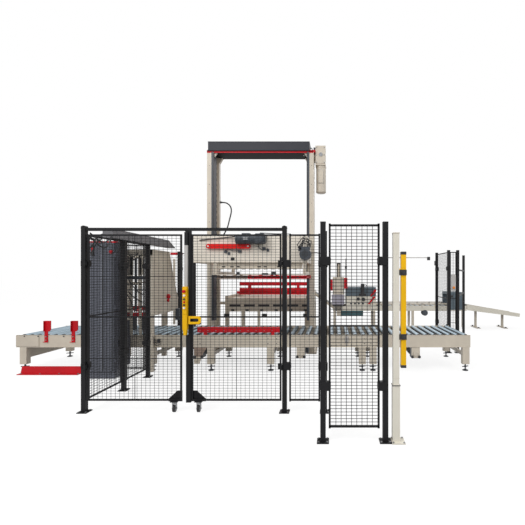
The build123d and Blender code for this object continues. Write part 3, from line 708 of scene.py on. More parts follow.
class PLANT_OT_conveyor_details(bpy.types.Operator):
    """Adds the folds, splice bolts, sensor, valves and hoses of the pallet conveyor"""

    bl_idname = "plant.conveyor_details"
    bl_label = "Conveyor details"

    def execute(self, context):
        front, back = BEAM_FRONT, BEAM_BACK
        lips = Shape()
        # Folded top and bottom edges of both beams.
        for y in (front - 5, back):
            for x0, x1 in ((-5650, -2391), (-2389, -1091), (-1089, 464), (466, 2250)):
                lips.boxes((x0 + 2, x1 - 2, y, y + 5, 618, 626), (x0 + 2, x1 - 2, y, y + 5, 412, 424))
        lips.box(-5648, -5250, front - 9, front - 5, 430, 612)
        for x, y in product(LEGS, (front - 3, back)):
            lips.box(x - 58, x + 58, y, y + 3, 120, 410)
        lips.done("beam_folds", "cream_paint", 1.5)
        # Splice bolts, and the slotted holes of the left end.
        spots = list(product((-2450, -1270, -1120, 410, 520), (478, 560)))
        dots = Shape()
        for y in (front - 11, back + 5):
            dots.rods("Y", spots, y, y + 6, 9, 6)
        spots = [(x, 606) for x in (-5500, -5260, -5110, -4820, -4650)]
        dots.rods("Y", spots, front - 12, front - 5, 11, 12).done("beam_bolts", "dark_steel")
        eyes = Shape().box(80, 120, front - 34, front - 5, 520, 610)
        eyes.box(70, 130, front - 12, front - 5, 490, 600)
        eyes.rod("Y", 100, 582, front - 40, front - 34, 12, 16).rod("Z", 100, front - 20, 450, 520, 7, 12)
        eyes.done("pallet_sensor", "duct_grey", 3)
        # Valves and hoses between the magazine and the portal.
        tangle = Shape().row((-3310, -3180), 34, front - 34, front - 5, 500, 560)
        y = front - 20
        for z in (600, 560, 520):
            route = [(-3300, y, z), (-3260, y - 20, z + 40), (-3200, y - 20, z - 100), (-3120, y, z - 40)]
            tangle.cables(6, route)
        tangle.done("beam_valves_and_hoses", "black_plastic")
        return {"FINISHED"}


class PLANT_OT_conveyor_feet(bpy.types.Operator):
    """Adds the round pads, levelling spindles and wing nuts under the conveyor legs"""

    bl_idname = "plant.conveyor_feet"
    bl_label = "Conveyor feet"

    def execute(self, context):
        pads = Shape()
        for x, y in product(LEGS, (BEAM_FRONT + 45, BEAM_BACK - 45)):
            turn = Matrix.Translation((x, y, 0)) @ Matrix.Rotation(0.35, 4, "Z")
            pads.box(-62, 62, -8, 8, 66, 80, turn)
            pads.rod("Z", x, y, 0.5, 12, 50, 28).rod("Z", x, y, 12, 26, 40, 28, 18)
            pads.rod("Z", x, y, 62, 84, 22, 6).rod("Z", x, y, 26, 117, 12, 12)
        pads.done("levelling_spindles", "dark_steel", 1.5)
        return {"FINISHED"}


def spread(start, end, pitch=138):
    """Roller places spread evenly over a length."""
    count = round((end - start) / pitch)
    step = (end - start) / count
    return [start + step * (i + 0.5) for i in range(count)]


# Where the rollers of each group lie along X, their radius and the height of their axes.
ROLLERS = {
    "loading_rollers": (spread(-5610, -2390.3), 42, 594),
    "stacking_rollers": (spread(-2390, -1090.3) + spread(-1090, 464.7), 42, 594),
    "discharge_rollers": (spread(465, 2250), 42, 594),
    "line_rollers": (spread(-100, 3980, 170), 36, 680),
}


class PLANT_OT_rollers(bpy.types.Operator):
    """Makes the round roller drums with their dark bearing ends"""

    bl_idname = "plant.rollers"
    bl_label = "Rollers"

    def execute(self, context):
        ends = Shape()
        for name, (places, radius, z) in ROLLERS.items():
            y0, y1 = at(name)[2:4]
            spots = [(x, z) for x in places]
            drums = Shape().rods("Y", spots, y0 + 34, y1 - 34, radius, 28)
            ends.rods("Y", spots, y0, y0 + 34, radius - 5, 20).rods("Y", spots, y1, y1 - 34, radius - 5, 20)
            drums.done(name.replace("_rollers", "_drums"), "zinc", replaced=name)
        ends.done("bearing_ends", "black_plastic")
        return {"FINISHED"}


class PLANT_OT_conveyor_motors(bpy.types.Operator):
    """Adds the cooling ribs, covers, knobs and terminal boxes of the conveyor drives"""

    bl_idname = "plant.conveyor_motors"
    bl_label = "Conveyor motors"

    def execute(self, context):
        front = BEAM_FRONT
        # The left cover is cream, painted brown-grey as painted shade; the middle and right covers keep the
        # cream.
        for x, side, paint in (
            (-2480, "left", "bronze_plate"),
            (-700, "middle", "cream_paint"),
            (1300, "right", "cream_paint"),
        ):
            ribs = Shape().fins("Y", x, 302, front + 200, 9, 84)
            ribs.rod("Y", x, 302, front + 426, front + 476, 82, 28)
            ribs.box(x + 50, x + 120, front + 230, front + 340, 270, 360)
            ribs.done(side + "_drive_ribs", "motor_grey", 1.5)
            cover = Shape().box(x - 74, x + 74, front + 2, front + 8, 226, 408)
            if side == "left":
                upper = [(x - 78, 250), (x + 64, 250), (x + 78, 300), (x + 150, 408), (x - 78, 408)]
                cover.plate("Y", upper, front - 6, front + 2)
                lower = [(x - 78, 128), (x + 20, 128), (x + 64, 250), (x - 78, 250)]
                Shape().plate("Y", lower, front - 6, front + 2).done("left_drive_skirt", "cream_paint", 3)
            cover.rod("Y", x, 302, front - 8, front + 2, 44).done(side + "_drive_cover", paint, 3)
            knobs = Shape().rods("Y", [(x - 62, 246), (x + 62, 246)], front - 16, front + 2, 25, 20)
            knobs.done(side + "_drive_knobs", "black_plastic", 3)
        return {"FINISHED"}


class PLANT_OT_portal_details(bpy.types.Operator):
    """Adds the guide strips, belts, slots, knees and bolts of the portal, the header's edges, and the painted
    shade under the header
    """

    bl_idname = "plant.portal_details"
    bl_label = "Portal details"

    def execute(self, context):
        Shape().row((-2725, -700), 55, -45, -37, 700, 4286).done("guide_strips", "motor_grey")
        belts = Shape().boxes((-2696, -2672, -49, -45, 720, 4286), (-698, -682, -49, -45, 720, 4286))
        belts.done("lift_belts", "black_plastic")
        slots = Shape()
        for z, x in product(range(760, 4240, 120), (-2724.5, -645.5)):
            slots.boxes((x - 0.5, x + 0.5, 300, 324, z, z + 60), (x - 0.5, x + 0.5, 200, 212, z, z + 60))
        slots.rods("Y", product((-2772, -598), range(400, 4240, 400)), -38.5, -37, 7, 12)
        slots.done("column_slots", "dark_steel")
        spots = [(x + a, y) for x in (-2820, -645) for a in (-35, 130) for y in (-72, 452)]
        studs = Shape().rods("Z", spots, 20, 32, 13, 6)
        studs.rods("Y", [(x, 4210) for x in (-2700, -2640, -760)], -37, -29, 10, 6)
        studs.done("portal_bolts", "steel")
        knees = Shape()
        for inner, way in ((-2725, 1), (-645, -1)):
            outline = [(inner, 4290), (inner + way * 120, 4290), (inner + way * 40, 4170), (inner, 4170)]
            knees.plate("Y", outline, -12, 40)
        knees.done("portal_knees", "cream_paint", 3)
        edge = Shape().boxes((-2822, -560, -43, 424, 4292, 4316), (-2822, -560, -43, -37, 4270, 4316))
        edge.done("header_stripe", "red_paint", 2)
        seams = Shape().boxes((-2804, -636, -41, 424, 4498, 4512), (-2804, -636, -44, 424, 4316, 4338))
        seams.done("header_edges", "graphite_paint", 2)
        # Painted shade: a near-black plate under the header, where its underside lies in shade.
        Shape().box(-2720, -650, -28, 412, 4272, 4290).done("header_painted_shade", "painted_shade_black", 2)
        return {"FINISHED"}


class PLANT_OT_lift_motor_details(bpy.types.Operator):
    """Adds the rings, round-topped plate, gear face, bolts and coupling of the lift gearmotor"""

    bl_idname = "plant.lift_motor_details"
    bl_label = "Lift motor details"

    def execute(self, context):
        mid, front = -400, 23
        rings = Shape().rod("Z", mid, 153, 3448, 3470, 88, 40, 106).rod("Z", mid, 153, 3990, 4030, 112, 40)
        rings.rod("Z", mid, 153, 3470, 3500, 109, 40).done("motor_rings", "cream_paint", 3)
        turns = [math.pi * k / 11 for k in range(12)]
        outline = [(mid + 52 * math.cos(t), 3890 + 52 * math.sin(t)) for t in turns]
        outline += [(mid - 52, 3650), (mid + 52, 3650)]
        Shape().plate("Y", outline, 34, 50).done("motor_plate", "cream_paint", 4)
        wider = [(mid + (a - mid) * 1.07, 3770 + (b - 3770) * 1.03) for a, b in outline]
        Shape().plate("Y", wider, 41, 50).done("motor_plate_rim", "steel")
        Shape().box(-510, -307, front - 8, front, 4060, 4430).done("gear_face", "cream_paint", 6)
        studs = Shape().rods("Y", product((-490, -327), (4085, 4245, 4405)), front - 16, front - 8, 11, 6)
        studs.rod("Y", mid, 4250, front - 22, front - 8, 40, 28).done("gear_bolts", "steel")
        plug = Shape().box(-560, -512, 60, 240, 4290, 4420).rod("X", 150, 4360, -600, -560, 26, 20)
        plug.pipe([(-590, 150, 4386), (-600, 150, 4430), (-640, 150, 4440)], 10)
        plug.done("motor_coupling", "motor_grey", 4)
        return {"FINISHED"}


def head_carriage():
    """The frame of the head, whose lower part hangs only between the portal columns."""
    front, back, low = -1273, -47, 1670
    legs = (-2280, -680)
    bars = Shape().row((-2740, -680), 80, front, back, 1893, 2380).row(legs, 60, front, front + 60, low, 1893)
    bars.row(legs, 60, back - 60, back, low, 1893).row(legs, 60, front + 60, back - 60, low, low + 60)
    bars.boxes(
        (-2660, -680, front, front + 60, 1893, 1973),
        (-2660, -680, front, front + 60, 2300, 2380),
        (-2660, -680, back - 80, back, 1893, 2013),
        (-2220, -680, front, front + 40, low, low + 22),
        (-2220, -680, back - 40, back, low, low + 22),
    )
    bars.row((-2660, -735), 25, back - 240, 263, low, 2380)
    bars.rods("Y", product((-2630, -740), (1740, 2310)), -17, 53, 40, 32)
    bars.done("head_carriage", "cream_paint", 2, "head", "head_frame")


class PLANT_OT_head_details(bpy.types.Operator):
    """Makes the head's frame, and adds the folds, bolts, slots, lower rails and cables"""

    bl_idname = "plant.head_details"
    bl_label = "Head details"

    def execute(self, context):
        f = HEAD_FRONT
        blocks = Shape()
        for x, wide, z in ((-1857, 54, 1725), (-1410, 110, 1706), (-1240, 84, 1730)):
            blocks.box(x, x + wide, f - 10, f, 1672, z)
        blocks.done("door_slide_blocks", "black_plastic", 2, "head")
        # The panel's folded edges, and the lower front rail with its lip, set back under the panel.
        folds = Shape().boxes(
            (-2741, -599, f - 4, f, 2370, 2381),
            (-2741, -599, f - 4, f, 1892, 1902),
            (-2741, -2732, f - 4, f, 1902, 2370),
            (-608, -599, f - 4, f, 1902, 2370),
            (-2210, -690, f + 54, f + 60, 1796, 1893),
            (-2210, -690, f + 44, f + 60, 1778, 1796),
        )
        folds.done("head_folds", "cream_paint", 1.5, "head")
        head_carriage()
        slots = Shape().row((-2140, -1990, -1880, -1500, -1390, -1150, -1040), 62, f + 52, f + 54, 1808, 1828)
        for x in (-1930, -1050):
            slots.box(x - 30, x + 30, f - 18, f - 4, 1935, 1985).rod("Y", x, 1960, f - 26, f - 18, 16, 20)
        slots.row(range(-2180, -760, 132), 70, f + 52, f + 54, 1770, 1782)
        slots.done("head_slots", "black_plastic", 0, "head")
        spots = product((-2700, -2520, -1180, -900, -640), (1925, 2345))
        studs = Shape().rods("Y", spots, f - 8, f - 4, 8, 6)
        studs.rods("Y", [(-2352, 2178), (-1645, 2178)], f - 68, f - 60, 17, 6)
        studs.done("head_bolts", "white_plate", 0, "head")
        # Small fittings under the guard and the tangle below the upper motor.
        small = Shape()
        spots = (-2080, 2060, 50), (-2010, 2030, 34), (-1830, 2066, 60), (-1400, 2120, 60), (-1320, 2090, 40)
        for x, z, wide in spots:
            small.box(x, x + wide, f - 24, f, z, z + 46)
        left = [(-2060, f - 26, 2106), (-2000, f - 36, 2128), (-1900, f - 30, 2100), (-1800, f - 26, 2112)]
        right = [(-1480, f - 20, 2226), (-1450, f - 34, 2150), (-1390, f - 34, 2110), (-1300, f - 26, 2136)]
        small.pipe(left, 7).pipe(right, 8).done("head_fittings", "motor_grey", 2, "head")
        long = [(-2520, f - 14, 2290), (-2330, f - 16, 2312), (-2060, f - 24, 2335)]
        long += [(-1850, f - 60, 2352), (-1800, f - 100, 2360)]
        short = [(-1430, f - 110, 2386), (-1420, f - 100, 2410), (-1200, f - 30, 2404), (-900, f - 30, 2398)]
        cable = Shape().pipe(long, 10).pipe(short, 8)
        # The loops that stand over the side motor.
        x, z = SIDE_MOTOR_X, SIDE_MOTOR_Z
        sizes = (110, 250, 40), (150, 300, 20), (80, 330, -20), (130, 210, 60), (60, 280, 0)
        for reach, high, side in sizes:
            loop = [(x - 60, f - 120, z + 80), (x - reach, f - 150 - side, z + high * 0.55)]
            loop += [(x - reach * 0.4, f - 110, z + high), (x + reach * 0.6, f - 90 + side, z + high * 0.8)]
            cable.pipe([*loop, (x + reach * 0.45, f - 130, z + 90)], 9)
        cable.pipe([(x + 60, f - 200, z + 20), (x + 190, f - 210, z + 26), (x + 280, f - 190, z + 10)], 7)
        cable.done("head_cables", "hose_black", 0, "head")
        return {"FINISHED"}


class PLANT_OT_head_motors(bpy.types.Operator):
    """Adds the ribs, fan covers, terminal boxes and end plates of the two gearmotors on the head"""

    bl_idname = "plant.head_motors"
    bl_label = "Head motors"

    def execute(self, context):
        f = HEAD_FRONT
        y, z = f - 110, 2300
        ribs = Shape().fins("X", y, z, -1780, 10, 86, 26, 9)
        ribs.rod("X", y, z, -1842, -1796, 84, 28, 88).rod("X", y, z, -1512, -1478, 92, 28)
        ribs.box(-1730, -1590, y - 60, y + 60, z + 60, z + 100)
        # The upper motor's gearcase, with a flange and a stepped round cover.
        ribs.boxes((-1486, -1344, f - 196, f - 4, 2224, 2392), (-1344, -1322, f - 160, f - 40, 2240, 2376))
        ribs.rod("Y", -1415, 2306, f - 214, f - 196, 72, 32).rod("Y", -1415, 2306, f - 224, f - 214, 44, 32)
        tags = Shape().box(-1700, -1620, f - 200, f - 196, 2280, 2330).rod("X", y, z, -1522, -1513, 60, 28)
        x, z = SIDE_MOTOR_X, SIDE_MOTOR_Z
        ribs.fins("Y", x, z, f - 300, 8, 98, 24, 9).rod("Y", x, z, f - 336, f - 300, 94, 28, 96)
        ribs.box(x - 70, x + 70, f - 240, f - 120, z + 70, z + 130)
        ribs.box(x - 130, x - 70, f - 150, f - 60, z + 60, z + 150)
        fan = Shape().rod("Y", x, z, f - 342, f - 336, 62)
        for k in range(12):
            turn = Matrix.Translation((x, 0, z)) @ Matrix.Rotation(k * math.pi / 6, 4, "Y")
            ribs.box(88, 102, f - 320, f - 110, -5, 5, turn)
            if k % 2 == 0:
                fan.box(14, 58, f - 345, f - 341, -3, 3, turn)
        ribs.done("motor_ribs", "motor_grey", 2, "head")
        fan.done("fan_grilles", "dark_steel", 0, "head")
        tags.done("motor_tags", "steel", 1, "head")
        return {"FINISHED"}


class PLANT_OT_layer_doors(bpy.types.Operator):
    """Makes the two layer doors with their lipped edges, slide shoes and end rollers"""

    bl_idname = "plant.layer_doors"
    bl_label = "Layer doors"

    def execute(self, context):
        front, back = -1275, -51
        for side, x0, x1, shoes, paint in (
            ("left", -2215, -1673, (-1933, -2113), "bronze_plate"),
            ("right", -1667, -610, (-1467, -1169), "red_paint"),
        ):
            name = "door_" + side
            leaf = Shape().box(x0, x1, front, back, 1620, 1640)
            leaf.box(x0 + 20, x1 - 2, front - 8, front, 1600, 1612)
            for y in (front, back - 20):
                leaf.box(x0, x1, y, y + 20, 1600, 1662)
                leaf.row(shoes, 60, y, y + 20, 1662, 1669.7)
            leaf.done(side + "_layer_door", paint, 2, name, "layer_" + name)
            rollers = Shape().rods("Y", [(x0 + 90, 1632), (x1 - 160, 1632)], front - 10, front, 17, 20)
            rollers.done(side + "_door_rollers", "black_plastic", 1, name)
        return {"FINISHED"}


class PLANT_OT_cabinet_details(bpy.types.Operator):
    """Adds the ribs, the painted highlight and shade strips, handle, main switch, side strips, plinth and
    trim of the electrical cabinet
    """

    bl_idname = "plant.cabinet_details"
    bl_label = "Cabinet details"

    def execute(self, context):
        front, low, high = -1953, 130, 2170
        leaf = Shape().box(-4080, -3656, front - 3, front, 116, 2184)
        # Upright folds of the leaf: shallow ribs with a wider one in the middle.
        leaf.row(range(-4070, -3680, 52), 30, front - 8, front - 3, low, high)
        leaf.box(-3888, -3862, front - 14, front - 8, low, high)
        leaf.done("door_leaf_ribs", "cabinet_grey", 2, "cabinet_leaf")
        # Painted highlight: lighter strips where the leaf's folds catch the light.
        bright = Shape().box(-3858, -3834, front - 15, front - 8, low, high)
        bright.box(-4078, -4066, front - 10, front - 8, low, high)
        bright.done("door_leaf_painted_highlights", "cabinet_painted_highlight", 2, "cabinet_leaf")
        # Painted shade: dark strips beside the folds, where shade falls.
        shade = Shape().box(-3832, -3814, front - 9, front - 8, low, high)
        shade.box(-3676, -3664, front - 9, front - 8, low, high)
        shade.done("door_leaf_painted_shade", "dark_steel", 0, "cabinet_leaf")
        handle = Shape().box(-3996, -3966, front - 30, front - 8, 1980, 2150)
        handle.rod("Y", -3981, 2010, front - 44, front - 30, 22, 20)
        handle.done("door_handle", "black_plastic", 4, "cabinet_leaf")
        red = Shape().box(-3994, -3968, front - 36, front - 30, 2040, 2110)
        red.rod("Y", -3690, 2040, front - 30, front - 8, 26)
        red.done("main_switch_knob", "red_paint", 3, "cabinet_leaf")
        # The side that faces the gates is built of upright strips, down to the plinth.
        side = Shape().boxes((-4086, -3644, -1946, -1916, 4, 100), (-3664, -3644, -1916, -1624, 4, 100))
        for y in range(-1918, -1623, 59):
            side.box(-3640, -3634, y, y + 52, 110, 2185)
        for y in (-1616, -1578, -1540):
            side.box(-3640, -3635, y, y + 34, 145, 885)
        side.done("cabinet_side_strips", "cabinet_grey", 2)
        trim = Shape().box(-4092, -3636, -1950, -1921, 2188, 2212).box(-3652, -3636, -1921, -1622, 2196, 2212)
        trim.done("cabinet_trim", "red_paint", 2)
        return {"FINISHED"}


# Cables that run into the trunking from the cabinet's roof and from two posts of the fence.
RISERS = [
    [(-3235, -2700, 2230), (-3480, -2620, 2190), (-3650, -2500, 1960), (-3770, -2430, 2060),
     (-3860, -2390, 2240), (-3930, -2100, 2240), (-3960, -1900, 2204)],
    [(-3235, -2760, 2250), (-3420, -2700, 2250), (-3600, -2560, 2080), (-3740, -2480, 2020),
     (-3830, -2410, 2250), (-3900, -2100, 2250), (-3920, -1880, 2204)],
    [(-3235, -2500, 2262), (-3500, -2450, 2230), (-3700, -2400, 2240), (-3860, -2100, 2262),
     (-3880, -1880, 2204)],
    [(-3196, -2480, 1900), (-3206, -2470, 2050), (-3190, -2450, 2150), (-3170, -2430, 2172)],
    [(-3196, -2480, 1900), (-3200, -2490, 1500), (-3202, -2500, 1100), (-3200, -2515, 700)],
    [(-3144, -3290, 2190), (-3110, -3200, 2120), (-3090, -3080, 2060), (-3110, -2890, 2200)],
    [(-3144, -3300, 2150), (-3060, -3200, 1990), (-3040, -3060, 2060), (-3120, -2880, 2230)],
    [(-3700, -1700, 2198), (-3705, -1730, 2240), (-3670, -1760, 2262), (-3610, -1780, 2262)],
    [(-3750, -1700, 2198), (-3760, -1735, 2250), (-3700, -1770, 2270), (-3610, -1790, 2270)],
]


class PLANT_OT_cable_run(bpy.types.Operator):
    """Adds the cover seams of the cable trunking and the cables that climb into it"""

    bl_idname = "plant.cable_run"
    bl_label = "Cable run"

    def execute(self, context):
        lid = Shape().box(-3234, -3096, -2902, -1212, 2284, 2294).box(-3234, -3096, -2904, -2896, 2168, 2294)
        for y in range(-2800, -1240, 300):
            lid.box(-3236, -3094, y, y + 8, 2168, 2296)
        lid.done("trunking_cover", "trunking_grey", 2)
        Shape().cables(9, *RISERS).done("riser_cables", "hose_black")
        return {"FINISHED"}


class PLANT_OT_magazine_details(bpy.types.Operator):
    """Makes the frame of the pallet magazine with its guard, uprights, cylinders and hoses"""

    bl_idname = "plant.magazine_details"
    bl_label = "Magazine"

    def execute(self, context):
        x0, outside, y0, y1, _, top = at("magazine_frame")
        x1 = outside - 6
        far, low, post = -3600, top - 100, 80
        stand = Shape()
        for right, y in ((x1, y0), (far, y1 - post)):
            stand.box(x0, right, y, y + post, low, top)
            for x in (x0, right - post):
                stand.box(x, x + post, y, y + post, 0, top - 2)
            stand.row((x0 + post, right - post - 12), 12, y + 25, y + 55, 700, 1500)
        for x in (x0, far - post):
            stand.box(x, x + post, y0 + post, y1 - post, low, top)
        slope = [(-508, 1210), (-614, 1402), (-766, 1757)]
        guard = [(-1535, 965), (-620, 980), (-520, 1000), *slope, (-895, top), (-1535, top)]
        stand.plate("X", guard, x1, outside)
        stand.done("magazine_stand", "cream_paint", 3, replaced="magazine_frame")
        # Flat uprights and ties ahead of the fork carriage, on the near and the far side.
        bars = Shape().box(x0 - 2, -3236, y0 - 4, y0, top - 102, top - 92)
        for y in (y0 - 3, y1 - 10):
            bars.box(x0 + 80, -3420, y, y + 12, 1500, 1530)
            bars.row((-4200, -4010, -3628, -3470), 44, y, y + 13, 640, low)
        bars.boxes((-3715, -3566, y0 - 3, y0 + 3, 1668, 1965), (-3488, -3372, y0 - 3, y0 + 3, 1668, 1965))
        bars.done("magazine_uprights", "cream_paint", 2)
        # The guard's stiffening folds: along its sloping edge, and the crease down its middle.
        folds = Shape()
        edge = [*slope, (-895, 2105)]
        for (ya, za), (yb, zb) in zip(edge, edge[1:]):
            folds.plate("X", [(ya, za), (yb, zb), (yb - 26, zb), (ya - 26, za)], outside - 30, outside + 4)
        folds.plate("X", [(-1150, 970), (-1122, 970), (-1122, 2100), (-1150, 2100)], outside, outside + 5)
        folds.box(outside, outside + 4, -1535, -900, 1392, 1402).done("guard_folds", "cream_paint", 1.5)
        dark = Shape().boxes(
            (-3700, -3330, y0 - 4, y0 + 10, 1596, 1654),
            (-3700, -3330, y0 - 4, y0 + 10, 1404, 1424),
            (-3700, -3420, y1 - 14, y1, 1200, 1240),
            (outside, outside + 76, -640, -512, 792, 1010),
        )
        dark.row((x0 + 150, -3545), 26, y0, y0 + 12, 1050, 1960)
        dark.row((-3600, -3440), 60, y0 + 20, y0 + 60, 720, 930).done("magazine_cylinders", "motor_grey", 1.5)
        red = Shape().box(x0 + 100, -3350, y0 + 15, y0 + 20, 966, 1014)
        red.done("fork_bar_cover", "red_paint", 2, "forks")
        y = y0 - 14
        hoses = Shape().cables(
            9,
            [(-3640, y, 1590), (-3560, y - 20, 1480), (-3480, y - 14, 1380), (-3380, y, 1330)],
            [(-3650, y, 1390), (-3590, y - 22, 1330), (-3520, y - 16, 1270), (-3400, y, 1200)],
            [(-3660, y, 1330), (-3600, y - 22, 1250), (-3560, y - 16, 1120), (-3540, y, 1040)],
            [(-3620, y, 2010), (-3560, y - 24, 1935), (-3500, y - 18, 1930), (-3440, y, 2010)],
            [(-3700, y, 2010), (-3610, y - 24, 1950), (-3530, y - 24, 1990), (-3480, y, 2040)],
        )
        hoses.done("magazine_hoses", "hose_black")
        eye = Shape().rod("X", -980, 1268, outside, outside + 34, 46, 28)
        eye.rod("X", -980, 1268, outside + 34, outside + 46, 30)
        eye.rod("X", -980, 1196, outside, outside + 28, 30).done("magazine_reset_button", "red_paint", 3)
        Shape().box(-3830, -3560, 480, 512, 2128, 2178).done("rear_post_arm", "red_paint", 3)
        return {"FINISHED"}


class PLANT_OT_stop_details(bpy.types.Operator):
    """Adds the bolts and folds of the pallet stops, the side guide and the low floor rail"""

    bl_idname = "plant.stop_details"
    bl_label = "Stops and guides"

    def execute(self, context):
        front = BEAM_FRONT
        left = at("pallet_stops")[0]
        folds = Shape().box(-2510, -1040, front + 16, front + 20, 744, 758)
        studs = Shape()
        for x in (left, left + 470):
            folds.box(x + 4, x + 9, front - 44, front - 12, 690, 875)
            folds.box(x - 28, x + 66, front - 16, front - 12, 500, 512)
            studs.rods("Y", [(x + 29, 540), (x + 29, 600)], front - 20, front - 12, 10, 6)
        folds.done("stop_folds", "red_paint", 1.5)
        studs.rods("Y", [(x, 700) for x in range(-2460, -1060, 140)], front + 12, front + 20, 8, 6)
        studs.rods("Z", [(x, front - 220) for x in range(-5380, -4400, 320)], 12, 22, 12, 6)
        studs.done("stop_bolts", "steel")
        return {"FINISHED"}


class PLANT_OT_light_curtain(bpy.types.Operator):
    """Adds the ends, clamps, post trim and reflector of the light curtain, and the button box behind it"""

    bl_idname = "plant.light_curtain"
    bl_label = "Light curtain"

    def execute(self, context):
        y = CORNER_LINE
        ends = Shape().boxes((538, 592, y - 27, y + 27, 742, 772), (538, 592, y - 27, y + 27, 1872, 1904))
        for z in (1053, 1695):
            ends.box(519, 594, y - 36, y + 34, z - 28, z + 28).rod("Y", 556, z, y - 46, y - 36, 17, 20)
        ends.done("curtain_ends", "black_plastic", 4)
        Shape().box(450, 531, y - 40, y + 40, 566, 574).done("post_seam", "dark_steel")
        cap = Shape().box(457, 524, y - 33, y + 33, 2084, 2094)
        for z in (640, 1400):
            cap.box(456, 525, y - 32, y - 30, z, z + 2)
        cap.done("post_cap", "cream_paint", 3)
        Shape().box(412, 812, y - 4, y + 4, 1840, 1848).done("reflector_arm", "duct_grey", 1)
        Shape().box(806, 832, y - 14, y + 14, 1818, 1852).done("reflector_block", "black_plastic", 3)
        studs = Shape().rods("Z", product((458, 564), (y - 58, y + 58)), 10, 19, 9, 6)
        studs.done("curtain_post_bolts", "steel")
        # The press-button box and the switches that hang on the corner panels at the far right.
        Shape().box(2395, 2492, 10, 34, 1330, 1680).done("button_box", "duct_grey", 8)
        Shape().rod("Y", 2444, 1400, -14, 10, 26).done("button_box_switch", "orange_plastic", 4)
        box = Shape().boxes((2380, 2430, 8, 34, 1190, 1235), (2296, 2362, 905, 985, 1900, 2010))
        box.done("guard_door_switches", "black_plastic", 5)
        return {"FINISHED"}


class PLANT_OT_bag_line_details(bpy.types.Operator):
    """Adds the side rails, infeed covers, motor and feet of the bag line"""

    bl_idname = "plant.bag_line_details"
    bl_label = "Bag line details"

    def execute(self, context):
        front, back = BAG_LINE_FRONT, BAG_LINE_BACK
        rails = Shape()
        for y in (front - 12, back):
            rails.box(900, 3440, y, y + 12, 760, 800)
            rails.row(range(1000, 3440, 400), 30, y, y + 12, 640, 800)
        rails.done("bag_side_rails", "cream_paint", 2)
        covers = Shape()
        for y in (front - 8, back):
            covers.plate("Y", [(4010, 750), (5640, 480), (5640, 370), (4010, 580)], y, y + 8)
        covers.done("infeed_side_covers", "pale_cream", 3)
        motor = Shape().rod("Y", 2700, 500, front - 60, front + 160, 80, 28)
        motor.fins("Y", 2700, 500, front - 50, 7, 88)
        motor.box(2620, 2780, front + 20, front + 120, 560, 620).done("bag_line_motor", "motor_grey", 2)
        feet = Shape().rods("Z", product((4400, 5250), (front + 80, back - 80)), 20, 44, 26, 16)
        feet.done("infeed_feet", "black_plastic", 1)
        return {"FINISHED"}


class PLANT_OT_press_details(bpy.types.Operator):
    """Adds the folds, bearings, gearmotor, red arms and tray front of the bag press"""

    bl_idname = "plant.press_details"
    bl_label = "Bag press details"

    def execute(self, context):
        front = BAG_LINE_FRONT - 8
        plate = Shape().boxes(
            (264, 1186, front - 6, front, 1000, 1016),
            (264, 1186, front - 6, front, 570, 600),
            (-130, 3990, front - 2, front + 8, 566, 716),
        )
        plate.done("press_plate_folds", "pale_cream", 2)
        spots = [(x, 790) for x in (420, 540, 660, 790)]
        parts = Shape().rods("Y", spots, front - 16, front, 30)
        parts.rods("Y", spots, front - 26, front - 16, 14, 16).done("press_bearings", "dark_steel", 2)
        motor = Shape().rod("Z", 772, front - 30, 1090, 1400, 54, 28).fins("Z", 772, front - 30, 1160, 9, 64)
        motor.box(660, 880, front - 60, front - 4, 1030, 1096)
        motor.rod("Y", 640, 930, front - 50, front, 48).rod("Y", 800, 918, front - 50, front, 56)
        route = [(780, front - 60, 1330), (850, front - 84, 1400), (930, front - 70, 1300)]
        motor.cables(10, [*route, (900, front - 40, 1120)]).done("press_motor", "black_plastic", 3)
        arms = Shape().box(1020, 1060, front - 14, front, 1000, 1050)
        arms.box(1110, 1150, front - 14, front, 960, 1000)
        upper = [(1005, 1030), (1055, 1005), (1196, 1175), (1196, 1225), (1150, 1225)]
        lower = [(935, 775), (990, 775), (1166, 980), (1150, 1012), (1105, 1000)]
        for y in (front - 34, 4180):
            arms.plate("Y", upper, y, y + 20).plate("Y", lower, y, y + 20)
        arms.done("press_arms", "red_paint", 3)
        Shape().box(96, 794, front - 2, front + 8, 396, 566).done("press_tray_front", "teal_paint", 3)
        return {"FINISHED"}


